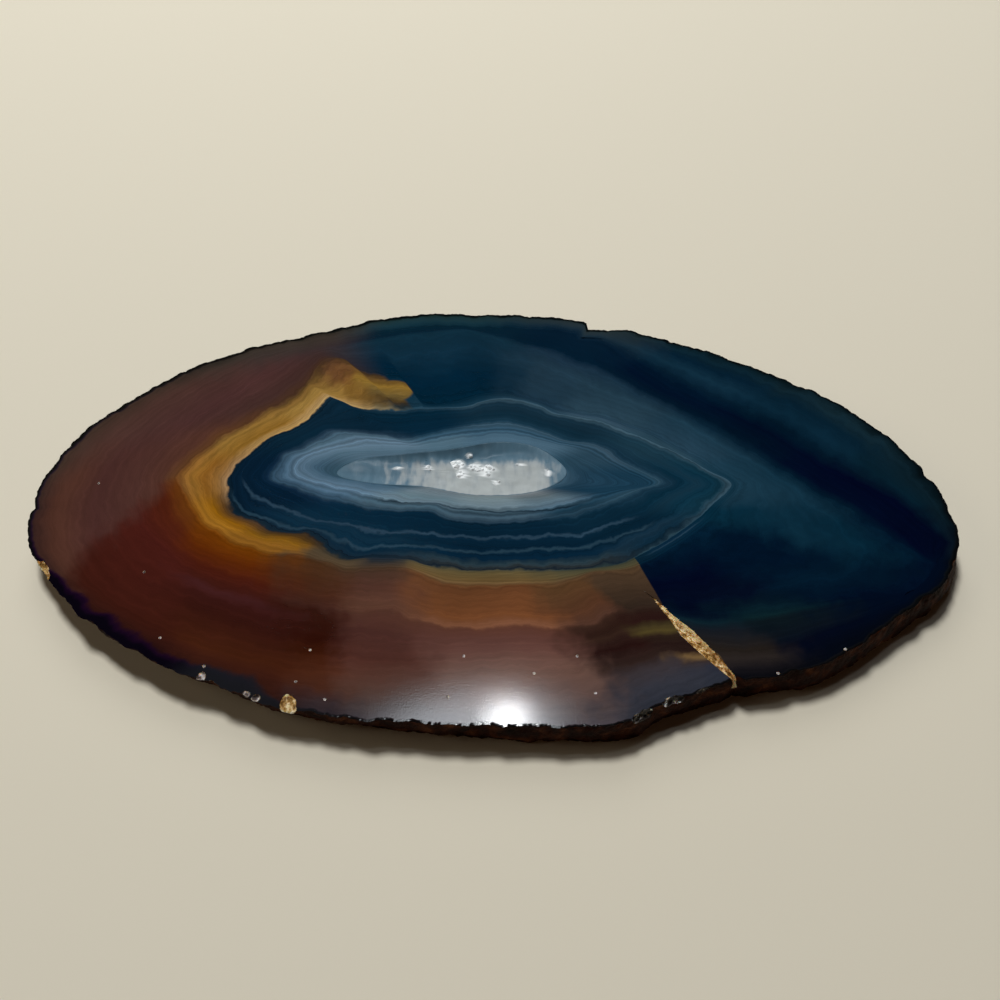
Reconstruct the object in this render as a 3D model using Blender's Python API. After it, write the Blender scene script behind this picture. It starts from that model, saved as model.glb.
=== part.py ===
"""A polished agate slice: one sawn slab of banded stone with a hollow lined by quartz crystals.

The slab lies flat on its sawn back. Lengths are in metres and +Z is up. +X runs along the slice,
and the origin is on the back face, under the middle of the slice.
"""

import math
import random

import bmesh
import bpy
from mathutils import Matrix, Vector, noise

MM = 0.001

# The slab: its saw cuts are 5 mm apart, and its length and width come from the outline below.
THICKNESS = 5.0 * MM

# The place in plan, in millimetres, that lies under the middle of the whole slice.
MIDDLE = (0.45, -0.1)

# The edge of the polished face in plan, in millimetres, anticlockwise from the right-hand tip.
EDGE_STATIONS = (
    (67.5, -6.5), (65.8, 2.5), (60.5, 11.0), (52.0, 18.5), (41.5, 24.6), (30.0, 29.4),
    (19.5, 32.8), (9.0, 34.9), (-3.0, 35.5), (-15.0, 35.1), (-28.5, 31.5), (-43.0, 26.7),
    (-54.0, 19.7), (-63.0, 11.3), (-67.2, 1.5), (-66.4, -8.2), (-60.3, -16.3), (-50.0, -23.8),
    (-38.0, -29.1), (-26.5, -33.1), (-12.0, -34.8), (8.0, -35.5), (18.0, -34.8), (22.5, -32.4),
    (31.5, -29.3), (45.0, -26.5), (55.0, -20.4), (64.0, -13.8),
)
EDGE_STEPS = 220
CURVE_FINENESS = 20

# Bites out of the edge: the place in plan, the depth, and the run before and after it.
EDGE_BITES = (
    ((16.0, 33.6), 1.3, 6.0, 0.5),
    ((-66.9, -1.9), 0.6, 1.4, 0.6),
    ((33.0, -28.8), 0.7, 2.0, 1.6),
    ((65.0, 4.0), 0.4, 2.2, 0.9),
)
BITE_REACH = 8

# The natural rind between the two saw cuts: heights of its rows, and how it stands out.
RIND_ROWS = tuple(share * THICKNESS for share in (0.0, 0.11, 0.3, 0.52, 0.74, 0.9, 1.0))
RIND_BULGE = 0.25 * MM
RIND_LEAN = 0.16
RIND_LEAN_TOWARDS = math.radians(-12.0)
LUMP = 0.42 * MM
LUMP_SPAN = 3.4 * MM
GRIT = 0.24 * MM
GRIT_SPAN = 1.1 * MM

# The hollow in the polished face, in millimetres, anticlockwise from its right-hand end.
HOLLOW_STATIONS = (
    (11.2, 4.8), (7.0, 8.9), (1.0, 10.0), (-6.0, 8.7), (-13.0, 7.8), (-20.0, 6.8),
    (-23.2, 4.1), (-18.0, 2.5), (-10.0, 1.8), (-3.0, 0.4), (4.0, 0.5), (9.0, 2.0),
)
HOLLOW_STEPS = 52
HOLLOW_RINGS = 5
HOLLOW_DEPTH = 3.0 * MM
HOLLOW_ROUNDNESS = 0.6

# The quartz crust that lines the hollow, and its crystals. Tip height is in radii.
CRUST_GAP = 0.3 * MM
CRUST_THICKNESS = 0.75 * MM
CRYSTAL_TRIES = 1200
CRYSTAL_SPACING = 1.1 * MM
CRYSTAL_RADIUS = (0.6 * MM, 1.0 * MM)
CRYSTAL_HEIGHT = (0.8 * MM, 1.6 * MM)
CRYSTAL_ROOT = 0.45 * MM
CRYSTAL_SIDES = 6
CRYSTAL_TIP = 1.1
CRYSTAL_LEAST_PRISM = 0.1
CRYSTAL_LEAN = 0.5
CRYSTAL_SCATTER = 0.27
CRYSTAL_REACH = 0.93
CRYSTAL_SEED = 7
BELOW_FACE = 0.15 * MM

# The old crack that broke out along the near edge: its line in plan, its width and its depth.
# It starts at a share of its full size and reaches that size at a share of its length.
CRACK_LINE = ((23.4, -17.4), (25.3, -20.4), (27.6, -22.8), (29.6, -25.1), (31.4, -27.2), (33.3, -30.2))
CRACK_WIDTH = 1.6 * MM
CRACK_DEPTH = 1.2 * MM
CRACK_START = 0.47
CRACK_FULL_AT = 0.4
CRACK_WIDTH_SPREAD = (0.75, 1.15)
CRACK_DEPTH_SPREAD = (0.8, 1.1)
CRACK_WANDER = 0.12 * MM
CRACK_STEPS = 11
CRACK_SEED = 3

# Shell-shaped chips knocked off the top edge: centre, radii along X, Y and Z, and turn.
EDGE_CHIPS = (
    ("gold_chip", (-27.3, -33.2, 5.9), (2.0, 2.6, 2.6), 25.0),
    ("left_chip", (-64.2, -14.2, 5.7), (2.1, 2.3, 2.2), 50.0),
    ("glint_chip_1", (-38.6, -29.9, 5.6), (1.5, 1.5, 1.6), 10.0),
    ("glint_chip_2", (-32.2, -32.0, 5.5), (1.3, 1.3, 1.4), 70.0),
    ("near_chip_1", (20.4, -34.6, 5.7), (2.4, 1.6, 1.9), 30.0),
    ("near_chip_2", (24.6, -32.5, 5.7), (2.2, 1.6, 1.6), 15.0),
    ("near_chip_3", (28.6, -31.2, 5.9), (1.9, 1.4, 1.8), 22.0),
)

ABOVE_FACE = 1.0 * MM


def remove_everything():
    """Start from an empty scene."""
    for old in list(bpy.data.objects):
        bpy.data.objects.remove(old)


def plan(place):
    """A place in plan, from millimetres to metres, with the origin under the slice's middle."""
    return Vector((place[0] - MIDDLE[0], place[1] - MIDDLE[1])) * MM


def closed_curve(stations, steps):
    """A smooth closed line through the stations, cut into equal steps, as points in metres."""
    corners = [plan(station) for station in stations]
    count = len(corners)
    fine = []
    for index in range(count):
        before, start, end, after = (corners[(index + k - 1) % count] for k in range(4))
        for part in range(CURVE_FINENESS):
            t = part / CURVE_FINENESS
            fine.append(
                0.5 * ((2 * start) + (end - before) * t
                       + (2 * before - 5 * start + 4 * end - after) * t ** 2
                       + (3 * start - before - 3 * end + after) * t ** 3)
            )
    lengths = [0.0]
    for here, there in zip(fine, fine[1:] + fine[:1]):
        lengths.append(lengths[-1] + (there - here).length)
    points = []
    index = 0
    for step in range(steps):
        target = lengths[-1] * step / steps
        while lengths[index + 1] < target:
            index += 1
        share = (target - lengths[index]) / (lengths[index + 1] - lengths[index])
        points.append(fine[index].lerp(fine[(index + 1) % len(fine)], share))
    return points


def outward(points, index):
    """The outward direction of an anticlockwise closed line at one of its points."""
    along = points[(index + 1) % len(points)] - points[index - 1]
    return Vector((along.y, -along.x)).normalized()


def bite_depths(points):
    """How far each point of the edge is set back by the bites near it."""
    step = (points[1] - points[0]).length
    depths = [0.0] * len(points)
    for place, depth, run_before, run_after in EDGE_BITES:
        middle = plan(place)
        nearest = min(range(len(points)), key=lambda k: (points[k] - middle).length)
        for offset in range(-BITE_REACH, BITE_REACH + 1):
            run = (run_before if offset < 0 else run_after) * MM
            fall = 1 - abs(offset) * step / run
            index = (nearest + offset) % len(points)
            depths[index] = max(depths[index], depth * MM * max(fall, 0.0))
    return depths


def rind_offset(point, height):
    """How far the natural rind stands out from the smooth edge at a place and height."""
    lean = RIND_LEAN * math.cos(math.atan2(point.y, point.x) - RIND_LEAN_TOWARDS)
    bulge = RIND_BULGE * math.sin(math.pi * height / THICKNESS)
    place = Vector((point.x, point.y, height))
    lumps = LUMP * noise.noise(place / LUMP_SPAN) + GRIT * noise.noise(place / GRIT_SPAN)
    return lean * (THICKNESS - height) + bulge + lumps


def new_object(name, bm):
    """An object of that name from a bmesh."""
    mesh = bpy.data.meshes.new(name)
    bm.to_mesh(mesh)
    bm.free()
    made = bpy.data.objects.new(name, mesh)
    bpy.context.scene.collection.objects.link(made)
    return made


def lofted(rows, start_point=None):
    """A closed solid through rows of points, capped flat or brought together at a point."""
    bm = bmesh.new()
    rings = [[bm.verts.new(co) for co in row] for row in rows]
    count = len(rings[0])
    for lower, upper in zip(rings, rings[1:]):
        for k in range(count):
            j = (k + 1) % count
            bm.faces.new((lower[k], lower[j], upper[j], upper[k]))
    if start_point is None:
        bm.faces.new(reversed(rings[0]))
    else:
        tip = bm.verts.new(start_point)
        for k in range(count):
            bm.faces.new((tip, rings[0][(k + 1) % count], rings[0][k]))
    bm.faces.new(rings[-1])
    bmesh.ops.recalc_face_normals(bm, faces=bm.faces)
    return bm


def hide_cutter(cutter):
    """A cutter is a tool, not a piece of the stone."""
    cutter.hide_render = True
    cutter.display_type = "WIRE"
    return cutter


def cut(target, cutter):
    """Take the cutter's shape out of the target."""
    boolean = target.modifiers.new(cutter.name, "BOOLEAN")
    boolean.operation = "DIFFERENCE"
    boolean.object = hide_cutter(cutter)


def stone_material(name, colour, roughness, transmission):
    """A plain finish for one kind of stone."""
    material = bpy.data.materials.new(name)
    material.use_nodes = True
    shader = material.node_tree.nodes["Principled BSDF"]
    shader.inputs["Base Color"].default_value = (*colour, 1.0)
    shader.inputs["Roughness"].default_value = roughness
    shader.inputs["Metallic"].default_value = 0.0
    shader.inputs["Transmission Weight"].default_value = transmission
    return material


def slab_blank():
    """The sawn slab before its hollow and chips: two flat saw cuts and the natural rind."""
    edge = closed_curve(EDGE_STATIONS, EDGE_STEPS)
    bites = bite_depths(edge)
    rows = []
    for height in RIND_ROWS:
        row = []
        for k, point in enumerate(edge):
            out = rind_offset(point, height) - bites[k]
            place = point + outward(edge, k) * out
            row.append((place.x, place.y, height))
        rows.append(row)
    return new_object("agate_slab", lofted(rows))


def bowl_point(rim, centre, share, depth):
    """A place on a bowl whose rim is at the polished face: share is 1 at the rim, 0 in the middle."""
    place = centre.lerp(rim, share)
    drop = depth * (1 - share ** 2) ** HOLLOW_ROUNDNESS
    return Vector((place.x, place.y, THICKNESS - drop))


def bowl_rows(rim, centre, depth):
    """Rings of a bowl from near its middle out to its rim."""
    shares = [math.sin(0.5 * math.pi * ring / HOLLOW_RINGS) for ring in range(1, HOLLOW_RINGS + 1)]
    return [[bowl_point(point, centre, share, depth) for point in rim] for share in shares]


def middle_of(points):
    """The mean of some points."""
    return sum(points, Vector((0.0, 0.0))) / len(points)


def bowl_solid(name, gap, top):
    """The hollow's shape, or one a gap smaller all round, closed flat at a height."""
    edge = closed_curve(HOLLOW_STATIONS, HOLLOW_STEPS)
    centre = middle_of(edge)
    rim = [point - outward(edge, k) * gap for k, point in enumerate(edge)]
    rows = bowl_rows(rim, centre, HOLLOW_DEPTH - gap)
    if top < THICKNESS:
        rows.pop()
    rows.append([(p.x, p.y, top) for p in rim])
    lowest = bowl_point(centre, centre, 0.0, HOLLOW_DEPTH - gap)
    return new_object(name, lofted(rows, lowest))


def crack_cutter():
    """A jagged wedge along the old crack, wide and deep in its middle and fine at its inner end."""
    chance = random.Random(CRACK_SEED)
    line = [plan(place) for place in CRACK_LINE]
    legs = len(line) - 1
    rows = []
    for step in range(CRACK_STEPS):
        along = step / (CRACK_STEPS - 1) * legs
        leg = min(int(along), legs - 1)
        place = line[leg].lerp(line[leg + 1], along - leg)
        direction = (line[leg + 1] - line[leg]).normalized()
        side = Vector((direction.y, -direction.x))
        grown = min(1.0, step / (CRACK_FULL_AT * CRACK_STEPS))
        size = CRACK_START + (1 - CRACK_START) * math.sin(0.5 * math.pi * grown)
        half = 0.5 * CRACK_WIDTH * size * chance.uniform(*CRACK_WIDTH_SPREAD)
        depth = CRACK_DEPTH * size * chance.uniform(*CRACK_DEPTH_SPREAD)
        middle = place + side * chance.uniform(-CRACK_WANDER, CRACK_WANDER)
        top = THICKNESS + ABOVE_FACE
        near, far = middle - side * half, middle + side * half
        rows.append([
            (near.x, near.y, THICKNESS), (middle.x, middle.y, THICKNESS - depth),
            (far.x, far.y, THICKNESS), (far.x, far.y, top), (near.x, near.y, top),
        ])
    return new_object("crack_cutter", lofted(rows))


def chip_cutter(name, centre, radii, turn):
    """A squashed ball that leaves a shell-shaped chip where it crosses the edge."""
    bm = bmesh.new()
    bmesh.ops.create_icosphere(bm, subdivisions=2, radius=1.0)
    stretch = Matrix.Diagonal((*(r * MM for r in radii), 1.0))
    turned = Matrix.Rotation(math.radians(turn), 4, "Z")
    middle = plan(centre[:2])
    placed = Matrix.Translation((middle.x, middle.y, centre[2] * MM))
    bmesh.ops.transform(bm, matrix=placed @ turned @ stretch, verts=bm.verts)
    return new_object(name, bm)


def crust_base():
    """The crust's own body: a thin bowl, a little too wide and too deep until it is trimmed."""
    edge = closed_curve(HOLLOW_STATIONS, HOLLOW_STEPS)
    centre = middle_of(edge)
    bottom = bowl_rows(edge, centre, HOLLOW_DEPTH)
    bottom[-1] = [place - Vector((0.0, 0.0, CRUST_THICKNESS)) for place in bottom[-1]]
    top = []
    for row in reversed(bowl_rows(edge, centre, HOLLOW_DEPTH - CRUST_GAP)):
        top.append([Vector((p.x, p.y, min(p.z + CRUST_THICKNESS, THICKNESS))) for p in row])
    return new_object("quartz_crust", lofted(bottom + top))


def crystal(bm, place, direction, radius, height, turn):
    """One quartz point: a short six-sided prism with a six-sided tip, rooted in the crust."""
    upright = direction.to_track_quat("Z", "Y").to_matrix().to_4x4()
    frame = Matrix.Translation(place) @ upright @ Matrix.Rotation(turn, 4, "Z")
    angles = [2 * math.pi * k / CRYSTAL_SIDES for k in range(CRYSTAL_SIDES)]
    shoulder = max(height - CRYSTAL_TIP * radius, CRYSTAL_LEAST_PRISM * height)
    rings = []
    for level in (-CRYSTAL_ROOT, shoulder):
        corners = [frame @ Vector((radius * math.cos(a), radius * math.sin(a), level)) for a in angles]
        rings.append([bm.verts.new(corner) for corner in corners])
    tip = bm.verts.new(frame @ Vector((0.0, 0.0, height)))
    for k in range(CRYSTAL_SIDES):
        j = (k + 1) % CRYSTAL_SIDES
        bm.faces.new((rings[0][k], rings[0][j], rings[1][j], rings[1][k]))
        bm.faces.new((rings[1][k], rings[1][j], tip))
    bm.faces.new(reversed(rings[0]))


def crystal_places(chance):
    """Places on the crust, no two closer than the spacing, each with its share of the way out."""
    edge = closed_curve(HOLLOW_STATIONS, HOLLOW_STEPS)
    centre = middle_of(edge)
    wedges = [abs((edge[k - 1] - centre).cross(edge[k] - centre)) for k in range(HOLLOW_STEPS)]
    kept = []
    for _ in range(CRYSTAL_TRIES):
        rim = chance.choices(edge, wedges)[0]
        share = CRYSTAL_REACH * math.sqrt(chance.random())
        place = bowl_point(rim, centre, share, HOLLOW_DEPTH - CRUST_GAP)
        place.z += CRUST_THICKNESS
        if all((place - other).length > CRYSTAL_SPACING for other, _, _ in kept):
            inward = (centre - rim).normalized()
            kept.append((place, inward, share))
    return kept


def crystal_field():
    """All the crystals, spread over the crust and leaning at random off its surface."""
    chance = random.Random(CRYSTAL_SEED)
    bm = bmesh.new()
    for place, inward, share in crystal_places(chance):
        lean = inward * CRYSTAL_LEAN * share
        lean += Vector((chance.gauss(0, CRYSTAL_SCATTER), chance.gauss(0, CRYSTAL_SCATTER)))
        direction = Vector((lean.x, lean.y, 1.0)).normalized()
        room = (THICKNESS - BELOW_FACE - place.z) / direction.z
        height = min(chance.uniform(*CRYSTAL_HEIGHT), room)
        radius = min(chance.uniform(*CRYSTAL_RADIUS), height)
        crystal(bm, place, direction, radius, height, chance.uniform(0, math.pi / 3))
    return new_object("crystal_field", bm)


def islands(bm):
    """The separate closed bodies of a bmesh, each a list of its faces."""
    waiting = set(bm.faces)
    found = []
    while waiting:
        body = []
        edge_of_search = [waiting.pop()]
        while edge_of_search:
            face = edge_of_search.pop()
            body.append(face)
            for edge in face.edges:
                for neighbour in edge.link_faces:
                    if neighbour in waiting:
                        waiting.remove(neighbour)
                        edge_of_search.append(neighbour)
        found.append(body)
    return found


def keep_outer_body(piece):
    """Give the piece its evaluated mesh, without the sealed bubbles left between crystals."""
    graph = bpy.context.evaluated_depsgraph_get()
    joined = bpy.data.meshes.new_from_object(piece.evaluated_get(graph))
    bm = bmesh.new()
    bm.from_mesh(joined)
    bodies = sorted(islands(bm), key=len)
    for body in bodies[:-1]:
        bmesh.ops.delete(bm, geom=body, context="FACES")
    bm.to_mesh(joined)
    bm.free()
    piece.modifiers.clear()
    piece.data = joined


def quartz_crust():
    """The crust with its crystals joined to it in one solid."""
    crust = crust_base()
    field = crystal_field()
    room = bowl_solid("crust_room", CRUST_GAP, THICKNESS - BELOW_FACE)
    join = crust.modifiers.new("crystals", "BOOLEAN")
    join.operation = "UNION"
    join.object = field
    join.use_self = True
    trim = crust.modifiers.new("trim", "BOOLEAN")
    trim.operation = "INTERSECT"
    trim.object = room
    keep_outer_body(crust)
    bpy.data.objects.remove(field)
    bpy.data.objects.remove(room)
    return crust


def agate_slab():
    """The slab with its hollow, its crack and the chips along its edge."""
    slab = slab_blank()
    cut(slab, bowl_solid("hollow_cutter", 0.0, THICKNESS + ABOVE_FACE))
    cut(slab, crack_cutter())
    for name, centre, radii, turn in EDGE_CHIPS:
        cut(slab, chip_cutter(name, centre, radii, turn))
    return slab


def main():
    """Build the slice."""
    remove_everything()
    slab = agate_slab()
    slab.data.materials.append(stone_material("polished_agate", (0.07, 0.06, 0.08), 0.12, 0.0))
    crust = quartz_crust()
    crust.data.materials.append(stone_material("clear_quartz", (0.46, 0.5, 0.52), 0.2, 0.5))


main()
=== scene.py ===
import math

import bmesh
import bpy
import numpy as np
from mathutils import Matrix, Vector, noise


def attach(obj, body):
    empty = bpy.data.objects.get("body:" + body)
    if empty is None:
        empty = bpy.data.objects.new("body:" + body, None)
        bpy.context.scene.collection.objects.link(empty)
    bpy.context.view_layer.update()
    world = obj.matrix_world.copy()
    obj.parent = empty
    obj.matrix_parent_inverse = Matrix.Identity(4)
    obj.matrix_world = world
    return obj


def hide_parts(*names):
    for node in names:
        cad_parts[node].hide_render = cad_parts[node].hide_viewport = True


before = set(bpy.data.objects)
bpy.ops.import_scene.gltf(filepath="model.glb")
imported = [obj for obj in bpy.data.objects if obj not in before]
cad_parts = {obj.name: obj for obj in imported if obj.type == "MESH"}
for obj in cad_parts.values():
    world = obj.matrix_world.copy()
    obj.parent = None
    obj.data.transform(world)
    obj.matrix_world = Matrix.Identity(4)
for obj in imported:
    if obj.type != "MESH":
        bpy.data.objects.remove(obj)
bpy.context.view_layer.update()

# The agate slab, its shape. One piece of banded chalcedony, sawn flat 5 mm thick, with its natural
# rind left on between the two saw cuts. Each band is a growth line round the hollow, so the mesh is
# laid along those lines, and every point knows which line it lies on.
MM = 0.001
THICKNESS = 5.0 * MM

# Places in plan are in millimetres. The first is the place under the middle of the whole slice, and
# the second is the middle that every growth line goes round.
SLICE_MIDDLE = (0.45, -0.1)
BAND_MIDDLE = (-2.5, 3.4)

# The edge of the polished face, and the growth lines inside it, each anticlockwise from the right.
EDGE = (
    (67.5, -6.5), (65.8, 2.5), (60.5, 11.0), (52.0, 18.5), (41.5, 24.6), (30.0, 29.4),
    (19.5, 32.8), (9.0, 34.9), (-3.0, 35.5), (-15.0, 35.1), (-28.5, 31.5), (-43.0, 26.7),
    (-54.0, 19.7), (-63.0, 11.3), (-67.2, 1.5), (-66.4, -8.2), (-60.3, -16.3), (-50.0, -23.8),
    (-38.0, -29.1), (-26.5, -33.1), (-12.0, -34.8), (8.0, -35.5), (18.0, -34.8), (22.5, -32.4),
    (31.5, -29.3), (45.0, -26.5), (55.0, -20.4), (64.0, -13.8),
)
HOLLOW_MOUTH = (
    (11.2, 4.8), (7.0, 8.9), (1.0, 10.0), (-6.0, 8.7), (-13.0, 7.8), (-20.0, 6.8),
    (-23.2, 4.1), (-18.0, 2.5), (-10.0, 1.8), (-3.0, 0.4), (4.0, 0.5), (9.0, 2.0),
)
QUARTZ_LINE = (
    (22.1, 2.3), (17.7, 4.8), (11.6, 8.2), (7.0, 9.6), (1.0, 10.4), (-3.6, 9.6), (-8.6, 8.6),
    (-14.2, 8.2), (-20.6, 8.2), (-23.4, 7.7), (-26.3, 5.4), (-24.5, 3.9), (-20.3, 2.9), (-16.1, 2.2),
    (-11.9, 1.5), (-7.7, 0.8), (-3.5, 0.0), (2.7, -0.2), (7.0, 0.2), (10.1, 0.9), (16.1, 1.5),
)
STEEL_RING = (
    (25.2, 2.6), (22.5, 4.8), (19.8, 6.5), (17.8, 8.5), (14.8, 9.8), (11.4, 10.3), (8.0, 11.8),
    (5.0, 13.0), (2.5, 13.6), (-1.5, 13.4), (-5.4, 13.0), (-9.5, 12.0), (-13.7, 10.7),
    (-16.5, 11.3), (-18.8, 11.6), (-21.9, 12.0), (-24.5, 12.0), (-26.4, 10.7), (-29.0, 8.8),
    (-31.5, 7.7), (-32.6, 5.4), (-33.0, 3.4), (-30.6, 1.9), (-28.5, 1.0), (-25.5, 0.1),
    (-22.9, -0.8), (-17.8, -2.2), (-13.7, -2.6), (-10.0, -2.6), (-7.5, -3.6), (-5.0, -4.3),
    (-1.4, -4.6), (3.1, -4.7), (6.8, -4.2), (11.0, -3.4), (15.1, -1.9), (18.5, -0.6), (21.5, 1.1),
)
LAST_BLUE_LINE = (
    (35.6, 2.3), (32.3, 4.8), (27.9, 7.9), (22.2, 11.1), (19.2, 12.6), (15.8, 14.0), (12.4, 14.8),
    (9.8, 15.4), (7.2, 17.0), (4.2, 18.0), (1.5, 18.3), (-1.1, 17.8), (-3.8, 16.7), (-6.3, 16.5),
    (-11.1, 16.4), (-15.5, 15.9), (-19.1, 15.9), (-21.8, 16.8), (-24.4, 18.2), (-25.5, 18.7),
    (-26.9, 16.8), (-29.1, 13.5), (-32.8, 11.4), (-34.9, 9.8), (-36.7, 7.7), (-38.4, 5.6),
    (-39.4, 2.7), (-39.0, -0.7), (-38.2, -2.4), (-36.3, -3.6), (-33.7, -4.7), (-31.7, -5.8),
    (-29.7, -6.1), (-26.6, -6.4), (-24.3, -8.5), (-21.3, -10.4), (-17.3, -10.1), (-12.1, -10.4),
    (-9.3, -11.3), (-6.4, -12.0), (0.7, -12.2), (8.7, -12.2), (16.7, -11.5), (20.7, -9.9),
    (25.0, -7.4), (29.3, -4.2), (32.4, -1.2),
)
GOLD_BAND = (
    (36.6, 2.3), (33.1, 5.6), (28.5, 8.7), (25.2, 11.3), (21.5, 13.1), (17.6, 14.7), (13.7, 15.5),
    (9.8, 16.6), (5.9, 18.3), (1.9, 19.6), (-1.9, 19.3), (-5.8, 17.8), (-9.4, 17.2), (-11.4, 18.0),
    (-12.1, 20.3), (-14.3, 22.5), (-18.3, 23.1), (-20.9, 23.6), (-22.9, 25.6), (-25.0, 26.4),
    (-26.9, 26.0), (-28.3, 23.3), (-29.8, 20.3), (-32.1, 17.4), (-34.6, 16.0), (-39.3, 12.2),
    (-41.5, 10.4), (-43.7, 7.9), (-46.7, 4.3), (-46.6, 2.7), (-45.3, 0.4), (-44.0, -1.8),
    (-42.3, -4.1), (-40.1, -5.8), (-36.8, -7.8), (-34.2, -8.9), (-31.2, -9.7), (-27.9, -9.7),
    (-25.5, -10.5), (-23.1, -11.0), (-20.8, -12.0), (-17.4, -11.9), (-13.8, -11.8), (-11.5, -12.1),
    (-8.7, -13.3), (-6.4, -14.3), (-3.3, -14.6), (4.7, -14.6), (8.6, -14.3), (11.8, -13.5),
    (14.6, -12.5), (17.5, -12.3), (21.1, -11.5), (25.9, -8.8), (30.2, -5.6), (33.8, -1.8),
)
RUST_BAND = (
    (66.0, -14.2), (60.3, -8.9), (53.9, -3.3), (47.2, 2.0), (40.3, 7.6), (33.1, 12.8), (25.6, 17.6),
    (17.9, 22.7), (10.0, 26.8), (1.9, 30.0), (-4.3, 32.2), (-10.2, 31.6), (-16.6, 30.5),
    (-23.0, 29.1), (-29.3, 27.6), (-35.3, 23.5), (-42.5, 17.6), (-47.9, 12.2), (-51.5, 6.3),
    (-52.4, 1.3), (-51.0, -3.9), (-47.6, -8.6), (-42.8, -11.8), (-36.8, -14.2), (-29.5, -16.5),
    (-23.8, -17.9), (-18.7, -18.8), (-14.9, -18.6), (-12.9, -19.0), (-10.9, -20.1), (-7.8, -20.5),
    (-5.4, -21.1), (-3.2, -21.3), (0.7, -21.1), (4.6, -20.9), (7.3, -21.4), (10.8, -21.2),
    (14.3, -20.5), (16.3, -19.2), (20.2, -18.6), (23.5, -18.2), (28.9, -19.1), (37.3, -18.8),
    (47.3, -16.9), (57.3, -15.8),
)
OUTER_BAND = (
    (67.3, -9.9), (64.3, -6.8), (61.4, -2.9), (58.3, 0.2), (51.4, 4.8), (44.6, 10.9), (37.4, 15.6),
    (29.8, 20.1), (26.0, 22.7), (22.2, 26.4), (17.4, 30.1), (11.0, 33.3), (1.2, 34.6), (-8.6, 34.3),
    (-18.4, 33.3), (-26.4, 31.4), (-35.8, 28.0), (-43.2, 22.9), (-50.3, 17.6), (-56.8, 10.9),
    (-60.2, 4.8), (-61.1, -2.2), (-59.4, -8.9), (-55.0, -14.6), (-48.7, -18.8), (-41.3, -22.0),
    (-32.8, -24.5), (-24.5, -26.0), (-16.3, -26.7), (-8.2, -26.6), (1.2, -26.3), (10.7, -26.0),
    (17.5, -24.8), (23.0, -23.6), (28.5, -23.8), (36.7, -23.8), (46.7, -20.8), (55.6, -17.4),
    (63.4, -13.3),
)
GROWTH_LINES = (
    HOLLOW_MOUTH, QUARTZ_LINE, STEEL_RING, LAST_BLUE_LINE, GOLD_BAND, RUST_BAND, OUTER_BAND,
)
LEAST_SPACING = 0.15 * MM
ROWS_BETWEEN_LINES = 4
ROWS_BETWEEN_LINES_BEHIND = 2

# The rim has a finer mesh than the face inside it, because the broken rind is rough.
FACE_COLUMNS = 660
RIM_COLUMNS = 2 * FACE_COLUMNS
CURVE_FINENESS = 20
RIM_STRIPS = tuple(d * MM for d in (0.18, 0.4, 0.7, 1.1, 1.6, 2.2))

# The rind stands out by a bulge and lumps, leans out to the right and is undercut at the lower left.
RIND_HEIGHTS = (0.0, 0.03, 0.1, 0.2, 0.3, 0.4, 0.5, 0.6, 0.7, 0.79, 0.87, 0.93, 0.975, 1.0)
RIND_BULGE = 0.25 * MM
RIND_LEAN = 0.16
RIND_LEAN_TOWARDS = math.radians(-12.0)
UNDERCUT = 0.24
UNDERCUT_TOWARDS = math.radians(205.0)
RIND_ROUGHNESS = ((0.42 * MM, 3.4 * MM), (0.24 * MM, 1.1 * MM), (0.12 * MM, 0.42 * MM))
NICK = 0.24 * MM
NICK_SPANS = ((0.7, 1.0 * MM), (0.5, 0.36 * MM))
NICK_INSIDE = 0.3
NORMAL_REACH = 6

# Bites out of the edge: the place in plan, the depth, and the run before and after it.
EDGE_BITES = (
    ((16.0, 33.6), 1.3, 6.0, 0.5),
    ((-66.9, -1.9), 0.6, 1.4, 0.6),
    ((33.0, -28.8), 0.7, 2.0, 1.6),
    ((65.0, 4.0), 0.4, 2.2, 0.9),
)

# How wide the rind's dark skin is on the polished face, in millimetres, by degrees round the slice.
SKIN_WIDTHS = (
    (0, 0.5), (40, 0.5), (80, 0.5), (110, 0.6), (150, 0.8), (175, 0.9), (190, 0.6), (203, 1.0),
    (210, 1.8), (216, 2.3), (232, 2.3), (238, 2.2), (241, 3.0), (244, 2.7), (247, 1.4), (250, 0.8),
    (254, 0.4), (300, 0.3), (320, 0.5), (345, 0.6), (360, 0.5),
)
SKIN_WANDER = 0.5
SKIN_SPAN = 3.0 * MM
DEEP_IN_STONE = 9.0
SLICE_HALF = (66.0, 35.0)


def plan(stations):
    """Places in plan, from millimetres to metres, with the origin under the slice's middle."""
    return (np.array(stations) - SLICE_MIDDLE) * MM


def smooth_loop(stations, steps):
    """A smooth closed line through the stations, cut into equal steps."""
    corners = plan(stations)
    t = np.linspace(0.0, 1.0, CURVE_FINENESS, endpoint=False)[:, None]
    legs = []
    for k in range(len(corners)):
        before, start, end, after = (corners[(k + j - 1) % len(corners)] for j in range(4))
        legs.append(
            0.5 * ((2 * start) + (end - before) * t
                   + (2 * before - 5 * start + 4 * end - after) * t ** 2
                   + (3 * start - before - 3 * end + after) * t ** 3)
        )
    line = np.concatenate(legs + [corners[:1]])
    run = np.concatenate([[0.0], np.cumsum(np.linalg.norm(np.diff(line, axis=0), axis=1))])
    wanted = np.linspace(0.0, run[-1], steps, endpoint=False)
    return np.column_stack([np.interp(wanted, run, line[:, axis]) for axis in (0, 1)])


def turn_of(points):
    """The direction of each point from the middle of the bands, in radians."""
    away = points - plan(BAND_MIDDLE)
    return np.arctan2(away[:, 1], away[:, 0])


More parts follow.
